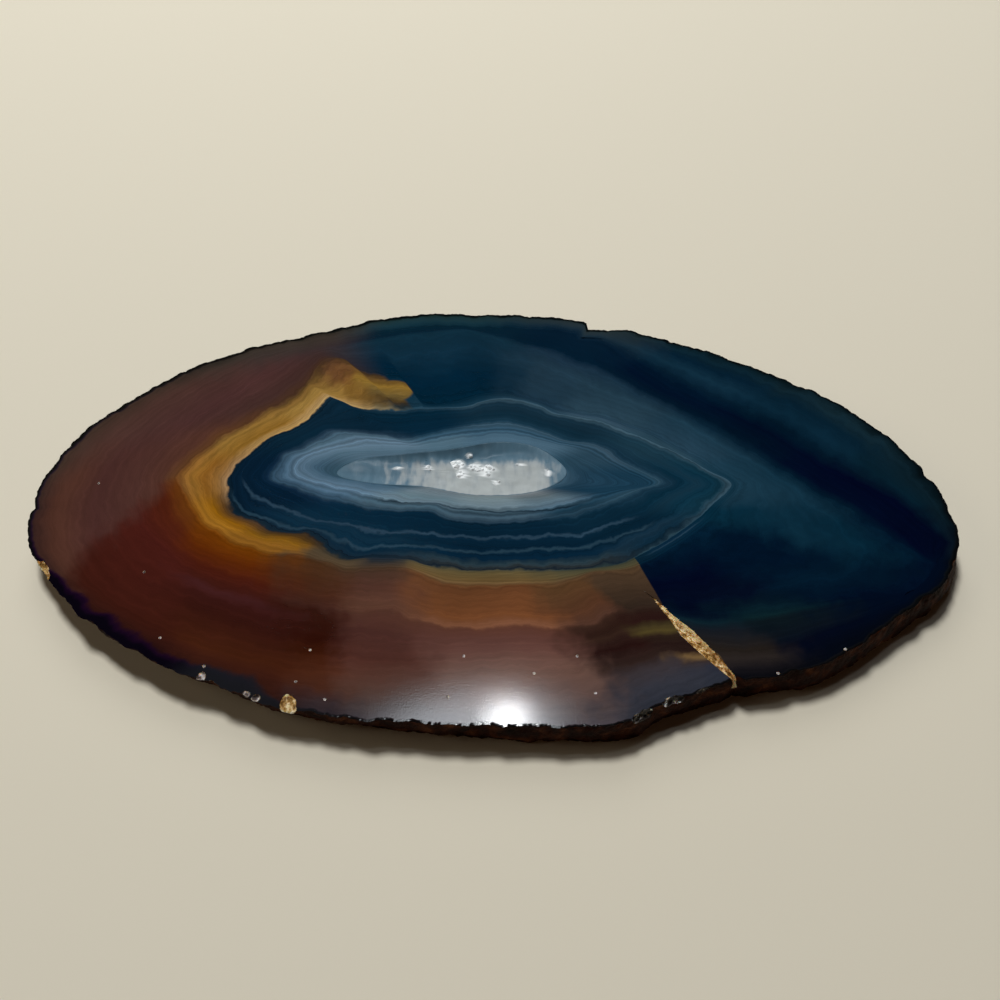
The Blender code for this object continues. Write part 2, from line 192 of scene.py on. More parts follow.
def reach_towards(stations, turns):
    """How far a growth line is from the middle of the bands in each direction."""
    line = smooth_loop(stations, RIM_COLUMNS)
    order = np.unwrap(turn_of(line))
    order = np.maximum.accumulate(order) + np.arange(len(order)) * 1e-9
    reach = np.linalg.norm(line - plan(BAND_MIDDLE), axis=1)
    lap = 2 * math.pi
    laps = np.concatenate([order - lap, order, order + lap])
    return np.interp(turns, laps, np.tile(reach, 3))


def outward(points):
    """The outward direction of an anticlockwise closed line at each of its points."""
    along = np.roll(points, -NORMAL_REACH, axis=0) - np.roll(points, NORMAL_REACH, axis=0)
    across = np.column_stack([along[:, 1], -along[:, 0]])
    return across / np.linalg.norm(across, axis=1)[:, None]


def bite_depths(points):
    """How far each point of the edge is set back by the bites near it."""
    count = len(points)
    step = np.linalg.norm(points[1] - points[0])
    depths = np.zeros(count)
    for place, depth, run_before, run_after in EDGE_BITES:
        nearest = int(np.argmin(np.linalg.norm(points - plan(place), axis=1)))
        offset = (np.arange(count) - nearest + count // 2) % count - count // 2
        run = np.where(offset < 0, run_before, run_after) * MM
        fall = np.clip(1 - np.abs(offset) * step / run, 0.0, 1.0)
        depths = np.maximum(depths, depth * MM * fall)
    return depths


def at_height(flat, height):
    """Places in plan lifted to a height, or each to its own height."""
    return np.column_stack([flat, height * np.ones(len(flat))])


def noise_at(flat, height, span):
    """Smooth noise, about -1 to 1, at places in plan and a height."""
    return np.array([noise.noise(Vector(spot) / span) for spot in at_height(flat, height)])


def rind_row(edge, ways_out, bites, height):
    """The rind's outline at a height between the saw cuts."""
    turns = np.arctan2(edge[:, 1], edge[:, 0])
    lean = RIND_LEAN * np.cos(turns - RIND_LEAN_TOWARDS)
    lean -= UNDERCUT * np.clip(np.cos(turns - UNDERCUT_TOWARDS), 0.0, 1.0) ** 2
    out = lean * (THICKNESS - height) + RIND_BULGE * math.sin(math.pi * height / THICKNESS) - bites
    for size, span in RIND_ROUGHNESS:
        out += size * noise_at(edge, height, span)
    return edge + ways_out * out[:, None]


def slab_rows():
    """The rows of the slab's mesh, from the middle of its back round the rind to the hollow.

    A row is its points, their growth lines, their depths under the skin, and the step to take.
    """
    edge = smooth_loop(EDGE, RIM_COLUMNS)
    ways_out = outward(edge)
    bites = bite_depths(edge)
    turns = turn_of(edge)
    across = (edge - plan(BAND_MIDDLE)) / (np.array(SLICE_HALF) * MM)
    degrees = np.degrees(np.arctan2(across[:, 1], across[:, 0])) % 360
    skin = np.interp(degrees, *zip(*SKIN_WIDTHS)) * MM
    skin *= 1 + SKIN_WANDER * noise_at(edge, 0.0, SKIN_SPAN)

    rim = rind_row(edge, ways_out, bites, THICKNESS)
    ways = np.column_stack([np.cos(turns), np.sin(turns)])
    middle = plan(BAND_MIDDLE)
    reaches = [reach_towards(line, turns) for line in GROWTH_LINES]
    reaches.append(np.linalg.norm(rim - middle, axis=1))
    reaches[-2] = np.minimum(reaches[-2], reaches[-1] - RIM_STRIPS[-1] - LEAST_SPACING)
    for k in range(len(reaches) - 3, -1, -1):
        reaches[k] = np.minimum(reaches[k], reaches[k + 1] - LEAST_SPACING)
    lines = [middle + ways * reach[:, None] for reach in reaches]
    last = len(lines) - 1
    width = np.linalg.norm(lines[last] - lines[last - 1], axis=1)
    ends = lines[:last] + [lines[last] - ways * RIM_STRIPS[-1]]
    end_rings = list(range(last)) + [last - RIM_STRIPS[-1] / width]

    def face_row(inner, share, level):
        """One row of a sawn face, part of the way from one growth line out to the next."""
        flat = ends[inner] * (1 - share) + ends[inner + 1] * share
        ring = end_rings[inner] * (1 - share) + end_rings[inner + 1] * share
        from_rim = np.linalg.norm(lines[last] - flat, axis=1)
        return at_height(flat, level), ring, from_rim / skin, 2

    rows = [
        face_row(inner, part / ROWS_BETWEEN_LINES_BEHIND, 0.0)
        for inner in range(last) for part in range(ROWS_BETWEEN_LINES_BEHIND)
    ]
    bottom = rind_row(edge, ways_out, bites, 0.0)
    for distance in reversed(RIM_STRIPS[1::2]):
        inset = lines[last - 1] + (bottom - lines[last - 1]) * (1 - distance / width)[:, None]
        rows.append((at_height(inset, 0.0), last - distance / width, distance / skin, 1))
    nick = sum(share * noise_at(edge, THICKNESS, span) for share, span in NICK_SPANS)
    nick = NICK * np.clip(nick, 0.0, 1.0)
    for share in RIND_HEIGHTS:
        height = share * THICKNESS
        outline = rind_row(edge, ways_out, bites, height)
        rows.append((at_height(outline, height - nick * (share == 1.0)), last, 0.0, 1))
    for index, distance in enumerate(RIM_STRIPS):
        height = THICKNESS - NICK_INSIDE * nick * (index == 0)
        inset = rim - ways * distance
        rows.append((at_height(inset, height), last - distance / width, distance / skin, 1))
    rows += [
        face_row(inner, part / ROWS_BETWEEN_LINES, THICKNESS)
        for inner in reversed(range(last)) for part in reversed(range(ROWS_BETWEEN_LINES))
    ]
    return rows, lines[0]


HOLLOW_DEPTH = 3.0 * MM
HOLLOW_ROUNDNESS = 0.6
HOLLOW_RINGS = 9


def bowl_place(mouth, centre, share, depth):
    """Places on the hollow's wall: share is 1 at its mouth and 0 at its middle."""
    drop = depth * (1 - share ** 2) ** HOLLOW_ROUNDNESS
    return at_height(centre + (mouth - centre) * share, THICKNESS - drop)


def faces_between(lower, few, upper, many):
    """Faces between two closed rows of points: as many, twice or half as many, or a single point."""
    faces = []
    for k in range(max(few, many) if 1 in (few, many) else min(few, many)):
        j = (k + 1) % max(1, min(few, many))
        if few == 1:
            faces.append((lower, upper + (k + 1) % many, upper + k))
        elif many == 1:
            faces.append((lower + k, lower + (k + 1) % few, upper))
        elif few == many:
            faces.append((lower + k, lower + j, upper + j, upper + k))
        elif few < many:
            half = upper + 2 * k + 1
            faces.append((lower + k, lower + j, upper + 2 * j, half))
            faces.append((lower + k, half, upper + 2 * k))
        else:
            half = lower + 2 * k + 1
            faces.append((lower + 2 * k, half, upper + k))
            faces.append((half, lower + 2 * j, upper + j, upper + k))
    return faces


def note_on_points(mesh, notes):
    """Write values on a mesh's points, under the names that the finishes read."""
    for name, values in notes.items():
        layer = mesh.attributes.new(name, "FLOAT", "POINT")
        layer.data.foreach_set("value", np.ascontiguousarray(values))


def slab_mesh():
    """The whole slab as one closed mesh whose points carry their growth line and their rind."""
    rows, mouth = slab_rows()
    centre = mouth.mean(axis=0)
    for k in range(1, HOLLOW_RINGS):
        share = math.cos(0.5 * math.pi * k / HOLLOW_RINGS)
        wall = bowl_place(mouth, centre, share, HOLLOW_DEPTH)
        rows.append((wall, share - 1.0, DEEP_IN_STONE, 2))
    rows.insert(0, (at_height(plan([BAND_MIDDLE]), 0.0), -1.0, DEEP_IN_STONE, 1))
    rows.append((at_height([centre], THICKNESS - HOLLOW_DEPTH), -1.0, DEEP_IN_STONE, 1))
    points = []
    for spots, ring, skin, step in rows:
        every = np.ones(len(spots))
        points.append(np.column_stack([spots, ring * every, skin * every])[::step])
    faces = []
    start = 0
    for lower, upper in zip(points, points[1:]):
        faces += faces_between(start, len(lower), start + len(lower), len(upper))
        start += len(lower)
    points = np.concatenate(points)
    mesh = bpy.data.meshes.new("agate_slice")
    mesh.from_pydata(points[:, :3].tolist(), [], faces)
    note_on_points(mesh, {"ring": points[:, 3], "skin": points[:, 4]})
    return mesh


slice_mesh = slab_mesh()

# The old fracture and the chips, which belong to the slab. The fracture ran in from the near edge,
# stopped the dye and broke out along its line, and the rim lost some shell-shaped chips. The mesh is
# made finer there and then pressed in.
FRACTURE = (
    (21.1, -11.5), (21.9, -13.3), (22.8, -15.2), (24.0, -18.0), (25.3, -19.9), (27.2, -21.5),
    (29.2, -23.6), (30.9, -25.2), (32.7, -28.3), (34.2, -31.5),
)
CRACK_LINE = (
    (22.6, -16.5), (25.0, -19.7), (26.7, -21.8), (28.4, -23.7), (30.5, -26.1), (32.3, -28.3),
    (33.4, -29.6),
)
CRACK_HALF_WIDTHS = (0.14, 0.45, 0.9, 0.9, 0.75, 0.4, 0.3)
CRACK_DEPTHS = (0.1, 0.4, 0.8, 0.9, 0.8, 0.8, 0.9)
CRACK_LOWEST = 0.6 * THICKNESS
CRACK_LOW_SIDE = 0.45
CRACK_ROUGH = (0.55, 0.55 * MM)
CRACK_REFINED_WITHIN = 1.2 * MM
CHIP_REFINED_SHARE = 1.1
REFINED_ROUNDS = 2
PIT_REFINED_WITHIN = tuple(reach * MM for reach in (2.4, 1.6, 1.0, 0.6, 0.4))
FINEST_EDGE = 0.075 * MM

# Each chip is a rippled ball pressed in: its middle, its three radii, its turn in degrees, and how
# golden the break is: 0 is dark, 1 is gold and 2 is pale. Past 1 the gold chip is painted lighter, as
# painted light glowing through the thin stone, and the pale chips are painted glints of light.
EDGE_CHIPS = (
    ((-26.7, -33.0, 5.5), (1.25, 2.4, 1.2), 8.0, 1.08),
    ((-63.8, -12.4, 5.5), (1.2, 2.2, 1.1), 30.0, 1.0),
    ((-38.9, -28.7, 5.5), (0.7, 1.3, 0.9), -14.0, 2.0),
    ((-37.5, -29.6, 5.5), (0.8, 0.8, 0.9), 20.0, 2.0),
    ((-32.5, -30.9, 5.5), (0.7, 0.6, 0.8), 0.0, 2.0),
    ((-31.2, -31.5, 5.5), (0.8, 0.7, 0.8), 20.0, 2.0),
    ((20.4, -34.6, 5.7), (2.4, 1.6, 1.9), 30.0, 0.1),
    ((24.6, -32.5, 5.7), (2.2, 1.6, 1.6), 15.0, 0.1),
    ((28.6, -31.2, 5.9), (1.9, 1.4, 1.8), 22.0, 0.15),
)
CHIP_RIPPLE = (0.2, 0.7 * MM)
PITS = (
    (-58.5, 2.5), (-49.2, -12.5), (-45.3, -22.7), (-38.7, -26.9), (-26.1, -29.1), (-22.0, -31.6),
    (-24.6, -24.5), (36.9, -29.0), (38.6, -27.9), (48.2, -24.4), (-3.7, -25.4), (11.7, -25.4),
    (5.8, -27.9), (13.9, -30.7), (-5.7, -31.3),
)
PIT_RADIUS = 0.22 * MM
PIT_DEPTH = 0.08 * MM
# The pits are pale broken stone with near-white specks: painted glints of light.
PIT_GOLD = 1.9


def along_line(points, stations):
    """For each point: its distance to a line of stations, how far along it is, and its side."""
    corners = plan(stations)
    nearest = np.full(len(points), np.inf)
    along = np.zeros(len(points))
    side = np.zeros(len(points))
    for k, (start, end) in enumerate(zip(corners, corners[1:])):
        leg = end - start
        away = points - start
        share = np.clip(away @ leg / (leg @ leg), 0.0, 1.0)
        gap = away - share[:, None] * leg
        distance = np.linalg.norm(gap, axis=1)
        closer = distance < nearest
        nearest = np.where(closer, distance, nearest)
        along = np.where(closer, k + share, along)
        side = np.where(closer, np.sign(leg[0] * away[:, 1] - leg[1] * away[:, 0]), side)
    return nearest, along, side


def places_of(mesh):
    """A mesh's points as an array."""
    flat = np.empty(len(mesh.vertices) * 3)
    mesh.vertices.foreach_get("co", flat)
    return flat.reshape(-1, 3)


def refine_broken_stone(mesh):
    """Cut the faces near the crack, the chips and the pits into smaller ones."""
    bm = bmesh.new()
    bm.from_mesh(mesh)
    for cut, pit_reach in enumerate(PIT_REFINED_WITHIN):
        spots = np.array([v.co for v in bm.verts])
        above = spots[:, 2] > 0.5 * THICKNESS
        near = np.zeros(len(spots), dtype=bool)
        if cut < REFINED_ROUNDS:
            near |= along_line(spots[:, :2], CRACK_LINE)[0] < CRACK_REFINED_WITHIN
            for centre, radii, _, _ in EDGE_CHIPS:
                away = np.linalg.norm(spots[:, :2] - plan(centre[:2]), axis=1)
                near |= away < CHIP_REFINED_SHARE * max(radii) * MM
        for pit in PITS:
            near |= np.linalg.norm(spots[:, :2] - plan(pit), axis=1) < pit_reach
        near &= above
        chosen = [
            edge for edge in bm.edges
            if near[edge.verts[0].index] and near[edge.verts[1].index]
            and edge.calc_length() > FINEST_EDGE
        ]
        bmesh.ops.subdivide_edges(bm, edges=chosen, cuts=1, use_grid_fill=True)
        bm.verts.index_update()
    bmesh.ops.triangulate(bm, faces=[face for face in bm.faces if len(face.verts) > 4])
    bm.to_mesh(mesh)
    bm.free()


def break_stone(mesh):
    """Press in the crack, chips and pits, and note on each point how broken and golden it is.

    Each point also learns how far past the fracture it is, in millimetres.
    """
    spots = places_of(mesh)
    broken = np.zeros(len(spots))
    golden = np.zeros(len(spots))
    distance, along, side = along_line(spots[:, :2], CRACK_LINE)
    steps = np.arange(len(CRACK_LINE))
    half = np.interp(along, steps, CRACK_HALF_WIDTHS) * MM
    deep = np.interp(along, steps, CRACK_DEPTHS) * MM
    within = (distance < half) & (spots[:, 2] > CRACK_LOWEST)
    across = side * distance / half
    fall = np.where(
        across < CRACK_LOW_SIDE,
        (across + 1) / (CRACK_LOW_SIDE + 1),
        (1 - across) / (1 - CRACK_LOW_SIDE),
    )
    chosen = np.nonzero(within)[0]
    rough = noise_at(spots[chosen, :2], spots[chosen, 2], CRACK_ROUGH[1])
    spots[chosen, 2] -= deep[chosen] * fall[chosen] * (1 + CRACK_ROUGH[0] * rough)
    broken[chosen] = 1.0
    golden[chosen] = 1.0
    for centre, radii, turn, gold in EDGE_CHIPS:
        middle = np.array([*plan(centre[:2]), centre[2] * MM])
        cosine = math.cos(math.radians(turn))
        sine = math.sin(math.radians(turn))
        turned = np.array([[cosine, sine, 0.0], [-sine, cosine, 0.0], [0.0, 0.0, 1.0]])
        sizes = np.array(radii) * MM
        local = (spots - middle) @ turned.T / sizes
        far = np.linalg.norm(local, axis=1)
        chosen = np.nonzero(far < 1.0)[0]
        if len(chosen) == 0:
            continue
        ripple = noise_at(spots[chosen, :2], spots[chosen, 2], CHIP_RIPPLE[1])
        ripple = 1 + CHIP_RIPPLE[0] * ripple
        pushed = local[chosen] / far[chosen][:, None] * ripple[:, None] * sizes
        pushed = pushed @ turned + middle
        pushed[:, 2] = np.minimum(pushed[:, 2], THICKNESS)
        spots[chosen] = pushed
        broken[chosen] = 1.0
        golden[chosen] = gold
    for pit in PITS:
        away = np.linalg.norm(spots[:, :2] - plan(pit), axis=1)
        chosen = np.nonzero((away < PIT_RADIUS) & (spots[:, 2] > 0.5 * THICKNESS))[0]
        spots[chosen, 2] -= PIT_DEPTH * (1 - away[chosen] / PIT_RADIUS)
        broken[chosen] = 1.0
        golden[chosen] = PIT_GOLD
    mesh.vertices.foreach_set("co", spots.ravel())
    distance, _, side = along_line(spots[:, :2], FRACTURE)
    past = side * distance / MM
    note_on_points(mesh, {"broken": broken, "golden": golden, "past_fracture": past})


def place_in_scene(name, data):
    """A new object in the scene, with the mesh, light or camera that it shows."""
    made = bpy.data.objects.new(name, data)
    bpy.context.scene.collection.objects.link(made)
    return made


refine_broken_stone(slice_mesh)
break_stone(slice_mesh)
agate_slice = place_in_scene("agate_slice", slice_mesh)

# The slab's colours. Iron gives the natural bands their browns, and a dye turned the middle and the
# right-hand side blue. Each list holds the stretches round the slice: the degrees over which one
# takes over, and its colours outwards, each as a growth line and the red, green and blue there.
GOLD_BANDS = (
    ((0, 1), (
        (3.0, 52, 68, 74), (3.1, 36, 46, 50), (3.2, 74, 58, 34), (3.35, 112, 92, 50),
        (3.6, 142, 110, 46), (3.75, 120, 90, 42), (3.9, 86, 64, 36), (4.05, 54, 42, 34),
    )),
    ((115, 120), (
        (3.0, 120, 112, 88), (3.12, 106, 88, 56), (3.25, 104, 78, 38), (3.5, 130, 96, 42),
        (3.7, 116, 78, 44), (3.85, 98, 66, 40), (4.05, 64, 46, 36),
    )),
    ((120, 127), (
        (3.0, 176, 146, 96), (3.2, 172, 138, 86), (3.35, 156, 122, 62), (3.6, 150, 118, 58),
        (3.8, 130, 98, 48), (4.05, 76, 56, 34),
    )),
    ((138, 152), (
        (3.0, 164, 130, 80), (3.15, 166, 132, 78), (3.3, 138, 100, 38), (3.8, 148, 112, 52),
        (4.05, 104, 74, 42),
    )),
    ((162, 176), (
        (3.0, 150, 120, 86), (3.25, 144, 104, 54), (3.5, 138, 92, 34), (3.7, 150, 106, 44),
        (3.85, 144, 100, 46), (4.05, 108, 68, 36),
    )),
    ((186, 196), (
        (3.0, 52, 44, 38), (3.2, 110, 74, 30), (3.4, 142, 94, 16), (3.6, 164, 112, 32),
        (3.8, 158, 108, 36), (4.05, 118, 66, 16),
    )),
    ((205, 214), (
        (3.0, 44, 38, 32), (3.15, 84, 60, 26), (3.4, 134, 92, 22), (3.65, 142, 96, 32),
        (3.85, 132, 88, 30), (4.05, 102, 54, 8),
    )),
    ((221, 226), (
        (3.0, 52, 52, 46), (3.3, 80, 68, 50), (3.7, 88, 72, 52), (4.05, 74, 54, 36),
    )),
    ((234, 240), (
        (3.0, 30, 42, 54), (3.4, 44, 46, 48), (3.7, 68, 58, 48), (4.05, 74, 54, 38),
    )),
    ((246, 258), (
        (3.0, 66, 66, 54), (3.15, 98, 86, 56), (3.7, 108, 86, 52), (3.85, 114, 90, 58),
        (4.05, 98, 64, 38),
    )),
    ((282, 300), (
        (3.0, 36, 52, 56), (3.15, 64, 66, 52), (3.6, 80, 76, 54), (4.05, 86, 64, 44),
    )),
)
OUTER_BANDS = (
    ((0, 1), (
        (4.05, 56, 48, 44), (5.0, 60, 48, 48), (6.4, 60, 52, 46), (7.0, 40, 36, 30),
    )),
    ((104, 122), (
        (4.05, 72, 48, 34), (4.3, 66, 44, 40), (5.0, 76, 48, 46), (6.2, 80, 54, 48), (6.8, 66, 50, 42),
        (7.0, 50, 40, 34),
    )),
    ((138, 158), (
        (4.05, 96, 62, 36), (4.4, 84, 52, 42), (5.0, 80, 50, 44), (5.7, 76, 46, 42), (6.2, 84, 52, 42),
        (6.5, 78, 48, 38), (7.0, 44, 30, 30),
    )),
    ((176, 186), (
        (4.05, 106, 58, 18), (4.45, 82, 34, 18), (5.0, 72, 28, 22), (6.2, 62, 26, 18),
        (6.5, 54, 24, 18), (6.8, 36, 16, 16), (7.0, 24, 12, 16),
    )),
    ((195, 206), (
        (4.05, 108, 56, 6), (4.45, 92, 40, 8), (4.85, 74, 28, 16), (5.1, 64, 26, 20), (5.2, 68, 32, 32),
        (5.35, 58, 24, 20), (5.6, 54, 22, 16), (6.2, 72, 34, 18), (6.5, 64, 30, 20), (7.0, 40, 24, 22),
    )),
    ((218, 228), (
        (4.05, 76, 48, 26), (4.75, 76, 42, 28), (5.0, 68, 38, 30), (5.1, 54, 24, 16), (5.6, 48, 16, 8),
        (5.85, 58, 24, 10), (6.2, 78, 40, 24), (6.5, 72, 40, 28), (6.8, 56, 44, 46), (7.0, 44, 38, 44),
    )),
    ((229, 239), (
        (4.05, 72, 52, 40), (4.4, 82, 52, 42), (4.9, 94, 62, 48), (5.05, 84, 52, 42), (5.4, 78, 46, 40),
        (5.9, 80, 46, 38), (6.2, 88, 56, 46), (6.5, 84, 60, 52), (6.8, 72, 62, 62), (7.0, 66, 60, 66),
    )),
    ((246, 260), (
        (4.05, 102, 64, 38), (4.75, 118, 72, 42), (4.95, 128, 84, 60), (5.05, 94, 58, 46),
        (5.3, 94, 60, 52), (5.6, 100, 66, 58), (6.2, 108, 80, 70), (6.5, 98, 76, 70), (6.8, 84, 72, 72),
        (7.0, 78, 72, 78),
    )),
    ((282, 289), (
        (4.05, 88, 62, 38), (4.7, 88, 56, 38), (4.95, 84, 56, 44), (5.05, 58, 38, 30),
        (5.3, 46, 28, 22), (5.5, 54, 36, 28), (5.65, 46, 28, 24), (5.9, 38, 18, 16), (6.2, 50, 36, 32),
        (6.45, 60, 54, 58), (6.7, 54, 56, 66), (7.0, 44, 48, 58),
    )),
    ((296, 301), (
        (4.05, 76, 58, 42), (4.9, 52, 40, 32), (5.1, 44, 26, 22), (5.3, 42, 22, 20), (5.42, 62, 52, 32),
        (5.6, 84, 72, 38), (5.75, 46, 34, 26), (6.0, 38, 24, 22), (6.2, 44, 30, 26),
        (6.32, 124, 98, 62), (6.45, 60, 48, 44), (6.6, 48, 50, 62), (7.0, 44, 50, 62),
    )),
)
DYED_BANDS = (
    ((-180, -179), (
        (3.0, 50, 78, 90), (3.05, 14, 42, 60), (4.0, 6, 30, 48), (4.3, 2, 8, 32), (4.9, 2, 10, 30),
        (5.1, 6, 20, 36), (5.25, 14, 36, 46), (5.5, 24, 30, 38), (6.1, 38, 32, 28), (6.4, 44, 38, 36),
        (6.7, 24, 22, 26), (7.0, 6, 8, 14),
    )),
    ((-54, -45), (
        (3.0, 50, 78, 90), (3.05, 12, 40, 56), (3.85, 6, 32, 50), (4.05, 2, 18, 38), (4.35, 2, 8, 32),
        (4.7, 4, 14, 34), (4.95, 10, 34, 44), (5.15, 14, 38, 44), (5.3, 14, 26, 32), (5.9, 12, 20, 30),
        (6.2, 4, 10, 28), (7.0, 4, 8, 16),
    )),
    ((-43, -34), (
        (3.0, 50, 78, 92), (3.05, 10, 40, 60), (3.28, 12, 42, 64), (3.36, 42, 68, 86),
        (3.44, 10, 40, 60), (3.9, 6, 36, 56), (4.15, 2, 22, 42), (4.4, 2, 20, 40), (4.7, 4, 28, 46),
        (5.0, 2, 14, 34), (6.3, 2, 12, 30), (7.0, 4, 8, 16),
    )),
    ((-27, -18), (
        (3.0, 46, 76, 92), (3.05, 6, 42, 60), (4.1, 8, 44, 62), (4.4, 14, 48, 66), (4.75, 8, 42, 60),
        (5.0, 2, 20, 40), (5.3, 2, 8, 32), (6.2, 2, 8, 28), (6.6, 10, 22, 34), (7.0, 4, 12, 18),
    )),
    ((-16, -7), (
        (3.0, 54, 84, 100), (3.06, 26, 58, 76), (3.5, 20, 54, 72), (4.1, 28, 60, 78),
        (4.75, 20, 52, 70), (5.0, 4, 28, 46), (5.25, 2, 12, 36), (6.0, 2, 8, 34), (6.4, 8, 34, 48),
        (6.8, 14, 34, 44), (7.0, 6, 16, 20),
    )),
    ((2, 16), (
        (3.0, 68, 96, 112), (3.06, 44, 72, 88), (3.5, 42, 70, 86), (3.85, 36, 64, 82),
        (4.1, 38, 66, 84), (4.75, 30, 60, 78), (5.0, 12, 38, 56), (5.25, 2, 22, 40), (5.9, 2, 14, 36),
        (6.1, 2, 24, 42), (6.35, 12, 42, 60), (6.6, 8, 34, 50), (6.85, 20, 42, 52), (7.0, 8, 20, 24),
    )),
    ((27, 42), (
        (3.0, 74, 100, 116), (3.06, 52, 78, 94), (3.5, 54, 80, 98), (3.8, 40, 66, 84),
        (4.1, 42, 68, 84), (4.75, 36, 62, 78), (5.0, 24, 48, 66), (5.2, 4, 26, 44), (5.6, 2, 18, 40),
        (6.05, 2, 22, 42), (6.4, 18, 48, 66), (6.65, 6, 32, 50), (6.85, 14, 38, 50), (7.0, 6, 18, 20),
    )),
    ((55, 69), (
        (3.0, 60, 88, 104), (3.06, 36, 64, 82), (3.6, 28, 54, 70), (3.9, 24, 48, 66), (4.2, 30, 54, 70),
        (4.75, 32, 56, 72), (5.0, 26, 48, 66), (5.2, 4, 28, 46), (5.9, 6, 28, 46), (6.2, 22, 42, 56),
        (6.5, 36, 50, 58), (6.8, 38, 50, 54), (7.0, 20, 28, 26),
    )),
    ((75, 90), (
        (3.0, 46, 78, 96), (3.06, 24, 56, 74), (3.3, 16, 48, 66), (3.6, 10, 42, 60), (4.0, 2, 34, 52),
        (4.3, 2, 34, 54), (4.7, 14, 44, 62), (5.0, 16, 46, 62), (5.25, 8, 34, 50), (5.8, 8, 36, 50),
        (6.2, 22, 52, 64), (6.5, 28, 54, 62), (6.8, 26, 48, 48), (7.0, 12, 24, 20),
    )),
)

# The rings inside the last blue line, which the dye reached all the way round. Degrees here are
# counted from straight down, anticlockwise.
INNER_BANDS = (
    ((0, 1), (
        (-1.0, 120, 130, 134), (0.0, 122, 136, 140), (1.0, 120, 138, 144), (1.3, 116, 138, 150),
        (1.5, 66, 90, 104), (1.62, 54, 78, 94), (1.75, 64, 88, 104), (1.87, 48, 72, 90),
        (1.97, 8, 36, 54), (2.75, 6, 34, 54), (2.84, 38, 58, 68), (2.94, 48, 56, 60),
        (2.97, 22, 32, 42), (3.0, 40, 50, 54),
    )),
    ((30, 50), (
        (-1.0, 112, 124, 130), (0.0, 126, 136, 142), (0.5, 112, 122, 128), (1.0, 98, 112, 118),
        (1.3, 98, 122, 136), (1.45, 92, 118, 136), (1.58, 52, 80, 98), (1.75, 26, 56, 74),
        (1.96, 40, 68, 86), (2.05, 12, 42, 60), (2.65, 6, 34, 52), (2.78, 24, 50, 68),
        (2.9, 12, 40, 58), (3.0, 30, 50, 62),
    )),
    ((60, 76), (
        (-1.0, 96, 108, 116), (-0.1, 62, 90, 108), (0.3, 34, 64, 84), (1.0, 24, 56, 76),
        (1.6, 26, 58, 78), (1.95, 48, 78, 96), (2.05, 26, 54, 72), (2.3, 8, 42, 60), (2.5, 22, 54, 72),
        (2.65, 12, 48, 66), (2.85, 16, 50, 66), (3.0, 62, 90, 106),
    )),
    ((92, 110), (
        (-1.0, 96, 108, 116), (0.0, 42, 72, 90), (1.6, 44, 72, 90), (1.85, 62, 88, 106),
        (1.95, 38, 66, 84), (2.05, 22, 50, 68), (2.5, 28, 58, 74), (2.8, 28, 58, 74),
        (2.93, 44, 72, 88), (3.0, 66, 94, 110),
    )),
    ((113, 135), (
        (-1.0, 96, 108, 116), (0.0, 74, 104, 124), (1.0, 74, 104, 124), (1.3, 70, 100, 120),
        (1.5, 56, 86, 106), (1.65, 46, 76, 96), (1.93, 56, 84, 102), (2.03, 26, 56, 74),
        (2.3, 14, 42, 58), (2.6, 20, 46, 62), (2.8, 22, 48, 64), (3.0, 62, 90, 106),
    )),
    ((176, 196), (
        (-1.0, 96, 108, 116), (0.0, 74, 104, 120), (1.0, 80, 110, 128), (1.3, 84, 114, 132),
        (1.45, 76, 106, 124), (1.6, 56, 86, 106), (1.8, 46, 78, 98), (1.92, 22, 54, 74),
        (2.05, 6, 38, 58), (2.85, 6, 38, 56), (3.0, 38, 68, 86),
    )),
    ((208, 226), (
        (-1.0, 96, 108, 116), (0.0, 82, 108, 126), (1.0, 80, 108, 126), (1.3, 98, 126, 146),
        (1.6, 92, 118, 138), (1.8, 78, 106, 124), (1.93, 66, 92, 110), (2.02, 38, 60, 78),
        (2.2, 10, 38, 56), (2.9, 12, 36, 52), (3.0, 18, 38, 50),
    )),
    ((244, 262), (
        (-1.0, 96, 108, 116), (0.0, 54, 82, 98), (0.6, 52, 80, 98), (1.0, 62, 90, 110),
        (1.45, 92, 120, 142), (1.6, 82, 110, 132), (1.8, 62, 90, 112), (1.93, 46, 72, 92),
        (2.03, 16, 40, 62), (2.2, 6, 30, 50), (2.9, 8, 30, 48), (3.0, 16, 36, 48),
    )),
    ((282, 298), (
        (-1.0, 112, 124, 130), (0.0, 120, 134, 140), (0.5, 112, 128, 138), (1.0, 114, 132, 142),
        (1.3, 104, 130, 142), (1.42, 114, 138, 152), (1.62, 64, 90, 106), (1.8, 68, 94, 110),
        (1.9, 46, 72, 90), (2.0, 8, 38, 58), (2.3, 8, 38, 58), (2.6, 16, 46, 66), (2.8, 10, 40, 60),
        (2.93, 20, 40, 56), (3.0, 24, 40, 50),
    )),
)
INNER_BANDS += (((325, 358), INNER_BANDS[0][1]),)

# Thin wavy threads between the rings: degrees round the slice with the growth line there, and colour.
THREADS = (
    (((178, 2.70), (187, 2.60), (225, 2.47), (264, 2.30), (300, 2.32), (334, 2.44)), (46, 71, 90)),
    (((184, 2.95), (192, 2.90), (225, 2.80), (252, 2.68), (290, 2.56), (334, 2.66)), (40, 66, 82)),
    (((204, 1.62), (218, 1.56), (269, 1.46), (300, 1.52), (336, 1.72)), (18, 34, 48)),
    (((20, 3.09), (40, 3.07), (70, 3.08), (100, 3.07)), (30, 52, 68)),
)
THREAD_WIDTH = 0.055
THREAD_ENDS = 9.0
THREAD_STRENGTH = 0.8
RING_RANGE = (-1.0, 7.0)
DYE_SHARPNESS = 0.02
FRACTURE_SHARPNESS = 0.12
HOOK_START = 112.0
HOOK_SPREAD = 0.8
HOOK_TIP = ((-15.7, 19.7), (3.2, 2.1))
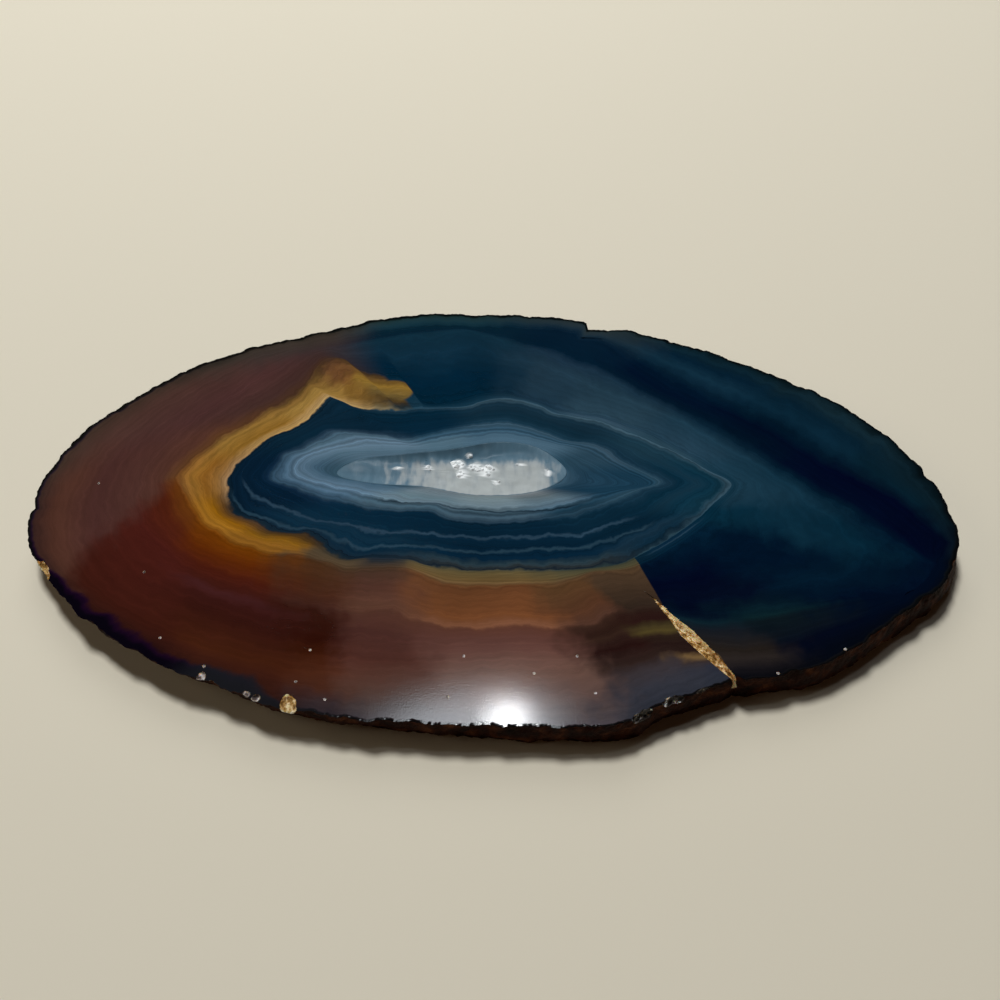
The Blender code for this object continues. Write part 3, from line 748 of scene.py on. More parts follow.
HOOK_TIP_EDGE = (1.1, 0.9)
DYE_TOP_RINGS = (4.0, 7.0)
DYE_TOP_DEGREES = (116.0, 108.0)
DYE_TOP_SPREAD = 6.0
DYE_OUTSIDE = (3.96, 4.08)
GOLD_TO_OUTER = (3.96, 4.1)
BAND_WANDER = ((0.20, 180.0), (0.18, 480.0), (0.06, 1500.0))
BORDER_WANDER = ((16.0, 60.0), (10.0, 300.0))
SLANT = 12.0
SLANT_ENDS = (285.0, 238.0)
NATURAL_CROSSING = 40.0
DYED_CROSSING = -28.0
FIBRE_COUNTS = {"X": 0.25, "Y": 0.07}
FIBRE_STRENGTHS = ((3.0, 0.75), (4.0, 0.6), (4.2, 0.3), (7.0, 0.3))
STRIPES = ((9.0, 0.5), (34.0, 0.35))
STRIPE_STRENGTHS = (
    (-1.0, 0.8), (2.0, 0.8), (2.1, 0.5), (3.0, 0.7), (4.0, 0.5), (4.3, 0.3), (7.0, 0.3),
)
CLOUD_SIZE = 110.0
CLOUD_SHADES = (0.5, 0.75)
SKIN_COLOURS = (
    (0, 5, 9, 12), (100, 5, 9, 12), (125, 14, 15, 11), (194, 16, 16, 14), (204, 8, 5, 14),
    (234, 9, 5, 16), (238, 26, 27, 32), (248, 26, 26, 30), (262, 14, 12, 12), (360, 5, 9, 12),
)
FRINGE_COLOURS = (
    (0, 6, 16, 22), (100, 10, 22, 22), (125, 30, 26, 22), (180, 38, 28, 40), (204, 28, 8, 34),
    (234, 26, 8, 30), (238, 28, 28, 36), (248, 30, 28, 34), (262, 30, 24, 26), (360, 6, 16, 22),
)
SKIN_RAGGED = ((0.8, 240.0), (0.4, 900.0))
SKIN_TO_FRINGE = (0.35, 0.9)
FRINGE_TO_STONE = (0.7, 1.2)


def linear(colour):
    """A colour as the eye reads it, 0 to 255, to the light that a shader works in."""
    shares = [channel / 255 for channel in colour]
    return tuple(s / 12.92 if s <= 0.04045 else ((s + 0.055) / 1.055) ** 2.4 for s in shares)


def connect(tree, target, value):
    """Link a socket, or set its plain value."""
    if isinstance(value, bpy.types.NodeSocket):
        tree.links.new(value, target)
    elif isinstance(value, tuple) and len(value) == 3 and target.type == "RGBA":
        target.default_value = (*value, 1.0)
    else:
        target.default_value = value


def maths(tree, operation, first, second=0.0, third=0.0):
    """One Math node."""
    node = tree.nodes.new("ShaderNodeMath")
    node.operation = operation
    for target, value in zip(node.inputs, (first, second, third)):
        connect(tree, target, value)
    return node.outputs[0]


def fade(tree, value, start, end, kind="SMOOTHSTEP", low=0.0, high=1.0):
    """The low end's value below the start and the high end's past the end, turning between them."""
    node = tree.nodes.new("ShaderNodeMapRange")
    node.interpolation_type = kind
    ends = {"Value": value, "From Min": start, "From Max": end, "To Min": low, "To Max": high}
    for name, given in ends.items():
        connect(tree, node.inputs[name], given)
    return node.outputs["Result"]


def blend(tree, share, first, second, kind="MIX"):
    """One colour turning into another."""
    node = tree.nodes.new("ShaderNodeMix")
    node.data_type = "RGBA"
    node.blend_type = kind
    connect(tree, node.inputs["Factor"], share)
    colours = [socket for socket in node.inputs if socket.type == "RGBA"]
    connect(tree, colours[0], first)
    connect(tree, colours[1], second)
    return next(socket for socket in node.outputs if socket.type == "RGBA")


def shaded(tree, colour, shade):
    """A colour made lighter or darker by a factor."""
    return blend(tree, 1.0, colour, shade, "MULTIPLY")


def ramp(tree, value, low, high, stops):
    """Colours, or plain numbers, at given values, one turning into the next."""
    node = tree.nodes.new("ShaderNodeValToRGB")
    tree.links.new(fade(tree, value, low, high, "LINEAR"), node.inputs["Fac"])
    points = node.color_ramp.elements
    while len(points) < len(stops):
        points.new(1.0)
    for point, (place, *look) in zip(points, stops):
        point.position = (place - low) / (high - low)
        point.color = (*(linear(look) if len(look) == 3 else look * 3), 1.0)
    return node.outputs["Color"]


def attribute(tree, name):
    """A value that the mesh's points carry."""
    node = tree.nodes.new("ShaderNodeAttribute")
    node.attribute_name = name
    return node.outputs["Fac"]


def place_on_piece(tree):
    """The place on the piece itself, in metres."""
    return tree.nodes.new("ShaderNodeTexCoord").outputs["Object"]


def mottle(tree, place, scale, detail=2.0, roughness=0.5):
    """Smooth noise from 0 to 1 at a place."""
    node = tree.nodes.new("ShaderNodeTexNoise")
    given = {"Vector": place, "Scale": scale, "Detail": detail, "Roughness": roughness}
    for name, value in given.items():
        connect(tree, node.inputs[name], value)
    return node.outputs["Fac"]


def wandering(tree, value, place, wander, detail=2.0):
    """A value that drifts from place to place, by noises of several sizes and scales."""
    for size, scale in wander:
        drift = maths(tree, "SUBTRACT", mottle(tree, place, scale, detail), 0.5)
        value = maths(tree, "MULTIPLY_ADD", drift, size, value)
    return value


def offsets_from(tree, place, spot, reaches):
    """How far a place is from a spot in plan, along x and along y, as shares of two reaches."""
    parts = tree.nodes.new("ShaderNodeSeparateXYZ")
    tree.links.new(place, parts.inputs[0])
    offsets = []
    for axis, middle in enumerate(plan(spot)):
        away = maths(tree, "SUBTRACT", parts.outputs[axis], float(middle))
        offsets.append(maths(tree, "DIVIDE", away, reaches[axis] * MM))
    return offsets


def degrees_round(tree, place):
    """Degrees round the slice from its right-hand side, -180 to 180, evened out along its length."""
    x, y = offsets_from(tree, place, BAND_MIDDLE, SLICE_HALF)
    return maths(tree, "DEGREES", maths(tree, "ARCTAN2", y, x))


def bands_round(tree, degrees, ring, stretches):
    """The colours of several stretches, each taking over from the one before it."""
    colour = ramp(tree, ring, *RING_RANGE, stretches[0][1])
    for (start, end), stops in stretches[1:]:
        following = ramp(tree, ring, *RING_RANGE, stops)
        colour = blend(tree, fade(tree, degrees, float(start), float(end)), colour, following)
    return colour


def streaked(tree, colour, lap, ring, crossing_degrees):
    """Let a colour vary along short fibres that cross the bands at a low angle."""
    fibres = tree.nodes.new("ShaderNodeCombineXYZ")
    crossing = maths(tree, "MULTIPLY_ADD", ring, crossing_degrees, lap)
    for axis, along in (("X", crossing), ("Y", lap)):
        count = FIBRE_COUNTS[axis]
        tree.links.new(maths(tree, "MULTIPLY", along, count), fibres.inputs[axis])
    depth = ramp(tree, ring, *RING_RANGE, FIBRE_STRENGTHS)
    swing = maths(tree, "SUBTRACT", mottle(tree, fibres.outputs[0], 1.0, 3.0, 0.6), 0.5)
    return shaded(tree, colour, maths(tree, "MULTIPLY_ADD", swing, depth, 1.0))


def spread_from(tree, place, spot, radii):
    """How far a place is from a spot in plan, 1 on an ellipse with the given radii."""
    squares = [maths(tree, "MULTIPLY", away, away) for away in offsets_from(tree, place, spot, radii)]
    return maths(tree, "SQRT", maths(tree, "ADD", *squares))


def thread(tree, colour, lap, ring, path, tint):
    """A thin soft line of another colour that wanders from ring to ring as it goes round."""
    low, high = path[0][0], path[-1][0]
    stops = tuple((place, at_ring / RING_RANGE[1]) for place, at_ring in path)
    where = maths(tree, "MULTIPLY", ramp(tree, lap, low, high, stops), RING_RANGE[1])
    gap = maths(tree, "ABSOLUTE", maths(tree, "SUBTRACT", ring, where))
    share = fade(tree, gap, THREAD_WIDTH, 0.0)
    for end, inside in ((low, low + THREAD_ENDS), (high, high - THREAD_ENDS)):
        share = maths(tree, "MULTIPLY", share, fade(tree, lap, float(end), inside))
    share = maths(tree, "MULTIPLY", share, THREAD_STRENGTH)
    return blend(tree, share, colour, linear(tint))


def natural_colour(tree, border, lap, ring):
    """The undyed stone: the gold band and what lies outside it."""
    past_gold = maths(tree, "MAXIMUM", maths(tree, "SUBTRACT", ring, 4.0), 0.0)
    slant = maths(tree, "MULTIPLY", fade(tree, lap, *SLANT_ENDS), -SLANT)
    slanted = maths(tree, "MULTIPLY_ADD", past_gold, slant, border)
    gold = bands_round(tree, border, ring, GOLD_BANDS)
    outer = bands_round(tree, slanted, ring, OUTER_BANDS)
    natural = blend(tree, fade(tree, ring, *GOLD_TO_OUTER), gold, outer)
    return streaked(tree, natural, lap, ring, NATURAL_CROSSING)


def inner_colour(tree, degrees, lap, ring):
    """The blue rings round the hollow, with their threads."""
    lap_from_below = maths(tree, "FLOORED_MODULO", maths(tree, "ADD", degrees, 90.0), 360.0)
    inner = bands_round(tree, lap_from_below, ring, INNER_BANDS)
    for path, colour in THREADS:
        inner = thread(tree, inner, lap, ring, path, colour)
    return inner


def undyed_share(tree, place, lap, ring):
    """1 where the dye didn't reach: left of the gold hook and before the fracture."""
    tip = fade(tree, spread_from(tree, place, *HOOK_TIP), *HOOK_TIP_EDGE)
    hook = fade(tree, lap, HOOK_START - HOOK_SPREAD, HOOK_START + HOOK_SPREAD)
    hook = maths(tree, "MAXIMUM", hook, tip)
    dye_top = fade(tree, ring, *DYE_TOP_RINGS, "LINEAR", *DYE_TOP_DEGREES)
    beyond_hook = fade(
        tree, lap, maths(tree, "SUBTRACT", dye_top, DYE_TOP_SPREAD),
        maths(tree, "ADD", dye_top, DYE_TOP_SPREAD),
    )
    wider = maths(tree, "SUBTRACT", beyond_hook, hook)
    undyed = maths(tree, "MULTIPLY_ADD", fade(tree, ring, *DYE_OUTSIDE), wider, hook)
    past = attribute(tree, "past_fracture")
    before = fade(tree, past, -FRACTURE_SHARPNESS, FRACTURE_SHARPNESS, low=1.0, high=0.0)
    return maths(tree, "MULTIPLY", undyed, before)


def banded_colour(tree):
    """The stone's colour at any place on it, from its growth line and its way round the slice."""
    place = place_on_piece(tree)
    ring = wandering(tree, attribute(tree, "ring"), place, BAND_WANDER)
    degrees = degrees_round(tree, place)
    lap = maths(tree, "FLOORED_MODULO", degrees, 360.0)
    drift = wandering(tree, 0.0, place, BORDER_WANDER)
    natural = natural_colour(tree, maths(tree, "ADD", lap, drift), lap, ring)
    dyed = bands_round(tree, maths(tree, "ADD", degrees, drift), ring, DYED_BANDS)
    dyed = streaked(tree, dyed, lap, ring, DYED_CROSSING)
    colour = blend(tree, undyed_share(tree, place, lap, ring), dyed, natural)
    inside_out = fade(tree, ring, 3.0 - DYE_SHARPNESS, 3.0 + DYE_SHARPNESS)
    colour = blend(tree, inside_out, inner_colour(tree, degrees, lap, ring), colour)

    for count, strength in STRIPES:
        lines = tree.nodes.new("ShaderNodeTexNoise")
        lines.noise_dimensions = "1D"
        lines.inputs["Scale"].default_value = count
        lines.inputs["Detail"].default_value = 1.0
        tree.links.new(ring, lines.inputs["W"])
        depth = ramp(tree, ring, *RING_RANGE, STRIPE_STRENGTHS)
        swing = maths(tree, "SUBTRACT", lines.outputs["Fac"], 0.5)
        swing = maths(tree, "MULTIPLY", swing, maths(tree, "MULTIPLY", depth, 2 * strength))
        colour = shaded(tree, colour, maths(tree, "ADD", swing, 1.0))
    cloud = mottle(tree, place, CLOUD_SIZE, 3.0)
    colour = shaded(tree, colour, maths(tree, "MULTIPLY_ADD", cloud, *CLOUD_SHADES))

    depth = wandering(tree, attribute(tree, "skin"), place, SKIN_RAGGED, 3.0)
    skin = ramp(tree, lap, 0.0, 360.0, SKIN_COLOURS)
    fringe = ramp(tree, lap, 0.0, 360.0, FRINGE_COLOURS)
    skin = blend(tree, fade(tree, depth, *SKIN_TO_FRINGE), skin, fringe)
    return blend(tree, fade(tree, depth, *FRINGE_TO_STONE), skin, colour)


def new_finish(name, values):
    """A material with one Principled shader, set to plain values, and its node tree."""
    material = bpy.data.materials.new(name)
    material.use_nodes = True
    shader = material.node_tree.nodes["Principled BSDF"]
    for socket, value in values.items():
        shader.inputs[socket].default_value = value
    return material, material.node_tree, shader


def raise_surface(tree, shader, height, strength, distance, socket="Normal"):
    """Let a height drive the surface's fine relief."""
    bump = tree.nodes.new("ShaderNodeBump")
    bump.inputs["Strength"].default_value = strength
    bump.inputs["Distance"].default_value = distance
    tree.links.new(height, bump.inputs["Height"])
    tree.links.new(bump.outputs["Normal"], shader.inputs[socket])


def polished_stone():
    """The upper face: ground, polished and glassy."""
    material, tree, shader = new_finish("polished_agate", {
        "IOR": 1.54, "Specular IOR Level": 0.0, "Roughness": 0.25,
        "Coat Weight": 1.0, "Coat IOR": 1.54, "Coat Roughness": 0.068,
    })
    tree.links.new(banded_colour(tree), shader.inputs["Base Color"])
    scratches = mottle(tree, place_on_piece(tree), scale=4200.0)
    raise_surface(tree, shader, scratches, 1.0, 0.0034 * MM, "Coat Normal")
    return material


def rind_stone():
    """The natural rind: rough, dark and stained by iron, with a few bright grains."""
    material, tree, shader = new_finish("agate_rind", {"Specular IOR Level": 0.06, "Roughness": 0.6})
    place = place_on_piece(tree)
    colour = ramp(tree, mottle(tree, place, scale=420.0, detail=4.0), 0.3, 0.75, (
        (0.3, 20, 6, 2), (0.48, 40, 15, 6), (0.6, 64, 30, 12), (0.75, 104, 62, 34),
    ))
    tree.links.new(colour, shader.inputs["Base Color"])
    grains = mottle(tree, place, scale=2600.0, detail=4.0, roughness=0.6)
    raise_surface(tree, shader, grains, 0.6, 0.2 * MM)
    return material


def sawn_stone():
    """The back: the same bands, cut by a saw and left dull."""
    material, tree, shader = new_finish("sawn_agate", {"Specular IOR Level": 0.3, "Roughness": 0.48})
    tree.links.new(banded_colour(tree), shader.inputs["Base Color"])
    marks = mottle(tree, place_on_piece(tree), scale=1800.0, detail=3.0)
    raise_surface(tree, shader, marks, 0.3, 0.05 * MM)
    return material


# Painted light on broken stone: the side past the fracture, where the crack's steep wall stands, and
# the breaks past gold are painted lighter.
PAINTED_WALL_LIGHT = 0.26
PAINTED_WALL_SPREAD = 0.9
GOLD_BRIGHTNESS = 0.6
GOLD_TO_PALE = (1.2, 1.8)
GRAIN_RANGE = (0.3, 0.72)


def broken_stone():
    """Broken stone: gold in the crack, dark in the chips on the right, gold or pale elsewhere, with
    painted glints.
    """
    material, tree, shader = new_finish("broken_agate", {
        "Roughness": 0.34, "Subsurface Weight": 0.8, "Subsurface Radius": (1.0, 0.75, 0.5),
        "Subsurface Scale": 1.2 * MM,
    })
    place = place_on_piece(tree)
    grains = mottle(tree, place, scale=1300.0, detail=4.0, roughness=0.65)
    past = attribute(tree, "past_fracture")
    golden = attribute(tree, "golden")
    # Lighter past the fracture, on the crack's steep wall: painted light.
    bright = fade(tree, past, -PAINTED_WALL_SPREAD, PAINTED_WALL_SPREAD)
    bright = maths(tree, "MULTIPLY_ADD", bright, PAINTED_WALL_LIGHT, grains)
    # Past 1, golden paints the break lighter: painted light, as if glowing through the thin chip.
    painted_light_lift = maths(tree, "SUBTRACT", golden, 1.0)
    bright = maths(tree, "MULTIPLY_ADD", painted_light_lift, GOLD_BRIGHTNESS, bright)
    # The gold runs to near-white at the grain peaks: painted sparkle of light on broken facets.
    gold = ramp(tree, bright, *GRAIN_RANGE, (
        (0.3, 50, 34, 16), (0.42, 120, 86, 42), (0.54, 190, 150, 88), (0.66, 250, 232, 190),
    ))
    # The dark chips get near-white specks at the grain peaks: painted glints of light.
    dark = ramp(tree, grains, *GRAIN_RANGE, (
        (0.3, 8, 7, 8), (0.48, 26, 22, 22), (0.58, 90, 84, 80), (0.64, 250, 248, 244),
    ))
    # The pale breaks run to near-white at the grain peaks: painted glints of light.
    pale = ramp(tree, grains, *GRAIN_RANGE, (
        (0.3, 30, 26, 26), (0.46, 110, 98, 96), (0.62, 250, 244, 240),
    ))
    colour = blend(tree, maths(tree, "MINIMUM", golden, 1.0), dark, gold)
    colour = blend(tree, fade(tree, golden, *GOLD_TO_PALE), colour, pale)
    tree.links.new(colour, shader.inputs["Base Color"])
    facets = mottle(tree, place, scale=2200.0, detail=4.0, roughness=0.6)
    raise_surface(tree, shader, facets, 0.7, 0.2 * MM)
    return material


for finish in (polished_stone(), rind_stone(), sawn_stone(), broken_stone()):
    slice_mesh.materials.append(finish)

POLISHED, RIND, SAWN, BROKEN = range(4)
MOSTLY = 0.5
UPRIGHT = 0.6


def give_faces_their_finish(mesh):
    """Polished above, rind at the sides, sawn behind, and broken where the stone came away."""
    broken = np.empty(len(mesh.vertices))
    skin = np.empty(len(mesh.vertices))
    mesh.attributes["broken"].data.foreach_get("value", broken)
    mesh.attributes["skin"].data.foreach_get("value", skin)
    for face in mesh.polygons:
        corners = list(face.vertices)
        if broken[corners].mean() > MOSTLY:
            face.material_index = BROKEN
        elif skin[corners].max() == 0.0:
            face.material_index = RIND
        elif face.normal.z < -UPRIGHT:
            face.material_index = SAWN
        else:
            face.material_index = POLISHED
        face.use_smooth = False


give_faces_their_finish(slice_mesh)
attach(agate_slice, "root")
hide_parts("agate_slab")

# The druse: quartz that filled most of the hollow once the bands had closed in on it. It is a milky
# mass with small frosted crystals in a few spots, painted near-white there as glints of light on their
# facets, and stays clear and teal along the far wall. The saw cut the crystals that reached the face.
DRUSE_GAP = 0.02 * MM
DRUSE_TOP = THICKNESS - DRUSE_GAP
DRUSE_COLUMNS = 160
DRUSE_RINGS = 22
DRUSE_LIP = 0.03 * MM
DRUSE_LUMPS = (0.16 * MM, 1.3 * MM)
MILKY_DEPTH = 0.7 * MM
FAR_DEPTH = 1.3 * MM
MILKY_EDGE = (8.4 * MM, 5.2 * MM)
MILKY_FINGERS = (900.0, 280.0, 0.0)
FINGER_REACH = 1.4
MILKY_SHADES = (0.4, 0.8)
EDGE_WIDTH = 1.1 * MM
EDGE_SHARE = 0.2
MILKY_LEFT = (-24.0 * MM, -3.0 * MM)
MILKY_RIGHT = (11.5 * MM, 5.5 * MM)
MILKY_BORDER = (-0.15 * MM, 0.35 * MM)
FROSTED_GLINT_EDGE = (0.7, 1.1)

# Frosted spots with crystals, painted near-white as glints of light on their facets: the place in
# plan and the radius, in millimetres.
FROSTED_GLINT_SPOTS = (
    (-5.1, 6.3, 1.0), (-4.5, 4.6, 0.9), (-0.9, 5.0, 1.2), (-2.7, 5.9, 0.8), (-14.1, 5.4, 0.5),
    (8.5, 4.4, 0.65), (4.4, 6.1, 0.4), (-3.5, 7.9, 0.4), (-9.6, 5.7, 0.5), (0.6, 2.9, 0.4),
)
CRYSTAL_SPACING = 0.6 * MM
CRYSTAL_SMALLEST = 0.5
CRYSTAL_LARGEST = 1.3
CRYSTAL_LEAN = 0.28
CRYSTAL_SEED = 11
CRYSTAL_RADIUS = 0.55 * MM
CRYSTAL_FOOT = -0.4 * MM
CRYSTAL_SHOULDER = -0.04 * MM
CRYSTAL_TIP = 0.3 * MM
CRYSTAL_SIDES = (1.0, 0.82, 1.0, 0.9, 0.8, 1.05)
MOST_CRYSTALS = 1e8


def quartz_crystal(name, off_axis):
    """One quartz crystal: a six-sided prism with a point that is a little off its axis."""
    turns = [math.radians(60 * k) for k in range(6)]
    points = [
        (reach * CRYSTAL_RADIUS * math.cos(turn), reach * CRYSTAL_RADIUS * math.sin(turn), level)
        for level in (CRYSTAL_FOOT, CRYSTAL_SHOULDER) for turn, reach in zip(turns, CRYSTAL_SIDES)
    ]
    points.append((off_axis[0] * CRYSTAL_RADIUS, off_axis[1] * CRYSTAL_RADIUS, CRYSTAL_TIP))
    faces = []
    for k in range(6):
        j = (k + 1) % 6
        faces += [(k, j, 6 + j, 6 + k), (6 + k, 6 + j, 12)]
    mesh = bpy.data.meshes.new(name)
    mesh.from_pydata(points, [], faces + [(5, 4, 3, 2, 1, 0)])
    return bpy.data.objects.new(name, mesh)


def smooth_step(values, start, end):
    """0 below the start and 1 past the end, smooth between them."""
    share = np.clip((values - start) / (end - start), 0.0, 1.0)
    return share * share * (3 - 2 * share)


def milky_share(row, from_mouth):
    """How milky the quartz is at each place: 1 in the near mass, 0 at the far wall and the ends."""
    milky = smooth_step(row[:, 1], *MILKY_EDGE) * smooth_step(from_mouth, *MILKY_BORDER)
    return milky * smooth_step(row[:, 0], *MILKY_LEFT) * smooth_step(row[:, 0], *MILKY_RIGHT)


def druse_skin():
    """The quartz that fills the hollow, closed all round, with notes on how it looks where."""
    mouth = smooth_loop(HOLLOW_MOUTH, DRUSE_COLUMNS)
    centre = mouth.mean(axis=0)
    inward = -outward(mouth)
    mouth = mouth + inward * DRUSE_GAP
    shares = np.cos(0.5 * math.pi * np.arange(1, DRUSE_RINGS) / DRUSE_RINGS)
    rows = [at_height([centre], THICKNESS - HOLLOW_DEPTH + DRUSE_GAP)]
    for share in shares[::-1]:
        rows.append(bowl_place(mouth, centre, share, HOLLOW_DEPTH - DRUSE_GAP))
        rows[-1][:, 2] = np.minimum(rows[-1][:, 2], DRUSE_TOP)
    rows.append(at_height(mouth, DRUSE_TOP))
    under = len(rows)
    lip = mouth + inward * DRUSE_LIP
    for share in (*shares, 0.0):
        flat = centre + (lip - centre) * share if share else centre[None]
        far = 1 - smooth_step(flat[:, 1], *MILKY_EDGE)
        depth = (1 - share ** 2) * (MILKY_DEPTH + (FAR_DEPTH - MILKY_DEPTH) * far)
        lumps = DRUSE_LUMPS[0] * noise_at(flat, 0.0, DRUSE_LUMPS[1]) * (1 - share ** 4)
        rows.append(at_height(flat, np.minimum(THICKNESS - depth + lumps, DRUSE_TOP)))

    notes = {"lining": [], "milky": [], "frosted_glint": []}
    for index, row in enumerate(rows):
        from_mouth = np.min(np.linalg.norm(row[:, None, :2] - mouth[None], axis=2), axis=1)
        milky = milky_share(row, from_mouth)
        edge = np.abs(row[:, 1] - sum(MILKY_EDGE) / 2) < EDGE_WIDTH
        frosted_glint = np.zeros(len(row))
        for x, y, radius in FROSTED_GLINT_SPOTS:
            away = np.linalg.norm(row[:, :2] - plan((x, y)), axis=1) / (radius * MM)
            frosted_glint = np.maximum(frosted_glint, 1 - smooth_step(away, *FROSTED_GLINT_EDGE))
        lining = np.maximum(np.where(edge, EDGE_SHARE, 0.0), frosted_glint)
        notes["lining"].append(lining if index >= under else np.zeros(len(row)))
        notes["milky"].append(milky)
        notes["frosted_glint"].append(frosted_glint)

    count = len(rows) - 2
    faces = []
    for k in range(DRUSE_COLUMNS):
        j = (k + 1) % DRUSE_COLUMNS
        faces.append((0, 1 + j, 1 + k))
        for row in range(count - 1):
            start = 1 + row * DRUSE_COLUMNS
            above = start + DRUSE_COLUMNS
            faces.append((start + k, start + j, above + j, above + k))
        last = 1 + (count - 1) * DRUSE_COLUMNS
        faces.append((last + k, last + j, 1 + count * DRUSE_COLUMNS))
    mesh = bpy.data.meshes.new("quartz_druse")
    mesh.from_pydata(np.concatenate(rows).tolist(), [], faces)
    mesh.shade_smooth()
    note_on_points(mesh, {name: np.concatenate(values) for name, values in notes.items()})
    return mesh


def glassy_quartz():
    """Milky quartz near, clear and teal at the far wall, frosted with painted glints in a few places.
    """
    material, tree, shader = new_finish("milky_quartz", {"IOR": 1.544, "Roughness": 0.28})
    place = place_on_piece(tree)
    stretched = tree.nodes.new("ShaderNodeVectorMath")
    stretched.operation = "MULTIPLY"
    tree.links.new(place, stretched.inputs[0])
    stretched.inputs[1].default_value = MILKY_FINGERS
    fingers = maths(tree, "SUBTRACT", mottle(tree, stretched.outputs[0], 1.0, 3.0), 0.5)
    share = maths(tree, "MULTIPLY_ADD", fingers, FINGER_REACH, attribute(tree, "milky"))
    milky = ramp(tree, share, 0.0, 1.0, (
        (0.0, 76, 106, 124), (0.3, 90, 118, 135), (0.65, 148, 158, 163), (1.0, 166, 174, 175),
    ))
    shade = maths(tree, "MULTIPLY_ADD", mottle(tree, place, scale=500.0), *MILKY_SHADES)
    colour = shaded(tree, milky, shade)
    # Frosted spots go near-white: frosted quartz, with painted glints of light on the crystal facets.
    colour = blend(tree, attribute(tree, "frosted_glint"), colour, linear((240, 246, 248)))
    tree.links.new(colour, shader.inputs["Base Color"])
    return material


def crystal_growth(crystals):
    """The node tree that grows crystals where the lining says and cuts them off at the sawn face."""
    tree = bpy.data.node_groups.new("crystal_growth", "GeometryNodeTree")
    sockets = {
        "Geometry": "Geometry", "Spacing": "Float", "Smallest": "Float", "Largest": "Float",
        "Lean": "Float", "Cut Height": "Float", "Seed": "Int", "Finish": "Material",
    }
    for name, kind in sockets.items():
        tree.interface.new_socket(name, in_out="INPUT", socket_type="NodeSocket" + kind)
    tree.interface.new_socket("Geometry", in_out="OUTPUT", socket_type="NodeSocketGeometry")
    given = tree.nodes.new("NodeGroupInput").outputs

    def add(kind, inputs, output=0, **settings):
        """One node with its inputs linked or set, and one of its outputs."""
        node = tree.nodes.new(kind)
        for name, value in settings.items():
            setattr(node, name, value)
        for name, values in inputs.items():
            for value in values if isinstance(values, list) else [values]:
                connect(tree, node.inputs[name], value)
        return node.outputs[output]

    def random_between(low, high, offset):
        """A random number for each crystal, with its own draw."""
        seed = maths(tree, "ADD", given["Seed"], offset)
        node = tree.nodes.new("FunctionNodeRandomValue")
        node.data_type = "FLOAT"
        for socket, value in zip([socket for socket in node.inputs if socket.enabled], (low, high)):
            connect(tree, socket, value)
        connect(tree, node.inputs["Seed"], seed)
        return next(socket for socket in node.outputs if socket.enabled)

    lining = add("GeometryNodeInputNamedAttribute", {"Name": "lining"}, "Attribute")
    scatter = {
        "Mesh": given["Geometry"], "Density Factor": lining, "Distance Min": given["Spacing"],
        "Seed": given["Seed"], "Density Max": MOST_CRYSTALS,
    }
    points = add(
        "GeometryNodeDistributePointsOnFaces", scatter, "Points", distribute_method="POISSON"
    )
    shapes = [
        add("GeometryNodeObjectInfo", {"Object": crystal, "As Instance": True}, "Geometry")
        for crystal in crystals
    ]
    size = random_between(given["Smallest"], given["Largest"], 1)
    planted = add("GeometryNodeInstanceOnPoints", {
        "Points": points, "Instance": add("GeometryNodeJoinGeometry", {"Geometry": shapes}),
        "Pick Instance": True, "Rotation": points.node.outputs["Rotation"],
        "Scale": maths(tree, "MULTIPLY", size, lining),
    })
    lean = maths(tree, "MULTIPLY", given["Lean"], -1.0)
    away = add("ShaderNodeCombineXYZ", {
        "X": random_between(lean, given["Lean"], 2), "Y": random_between(lean, given["Lean"], 3),
        "Z": random_between(0.0, math.tau, 4),
    })
    tilted = add("GeometryNodeRotateInstances", {"Instances": planted, "Rotation": away})
    real = add("GeometryNodeRealizeInstances", {"Geometry": tilted})
    parts = add("ShaderNodeSeparateXYZ", {"Vector": add("GeometryNodeInputPosition", {})}).node.outputs
    sawn = add("ShaderNodeCombineXYZ", {
        "X": parts["X"], "Y": parts["Y"], "Z": maths(tree, "MINIMUM", parts["Z"], given["Cut Height"]),
    })
    cut = add("GeometryNodeSetPosition", {"Geometry": real, "Position": sawn})
    whole = add("GeometryNodeJoinGeometry", {"Geometry": [given["Geometry"], cut]})
    coated = add("GeometryNodeSetMaterial", {"Geometry": whole, "Material": given["Finish"]})
    tree.links.new(coated, tree.nodes.new("NodeGroupOutput").inputs["Geometry"])
    return tree


def grow(name, skin_mesh, tree, values):
    """Grow the tree's crystals on a mesh and return the finished object."""
    start = place_in_scene(name + "_start", skin_mesh)
    growth = start.modifiers.new("growth", "NODES")
    growth.node_group = tree
    for item in tree.interface.items_tree:
        if item.in_out == "INPUT" and item.name in values:
            growth[item.identifier] = values[item.name]
    view = bpy.context.evaluated_depsgraph_get()
    grown = bpy.data.meshes.new_from_object(start.evaluated_get(view))
    start.modifiers.remove(growth)
    bpy.data.objects.remove(start)
    grown.name = name
    return place_in_scene(name, grown)


crystal_shapes = (
    quartz_crystal("blunt_crystal", (0.25, -0.1)), quartz_crystal("sharp_crystal", (-0.3, 0.3)),
)
quartz_druse = grow("quartz_druse", druse_skin(), crystal_growth(crystal_shapes), {
    "Spacing": CRYSTAL_SPACING, "Smallest": CRYSTAL_SMALLEST, "Largest": CRYSTAL_LARGEST,
    "Lean": CRYSTAL_LEAN, "Cut Height": DRUSE_TOP, "Seed": CRYSTAL_SEED, "Finish": glassy_quartz(),
})
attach(quartz_druse, "root")
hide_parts("quartz_crust")

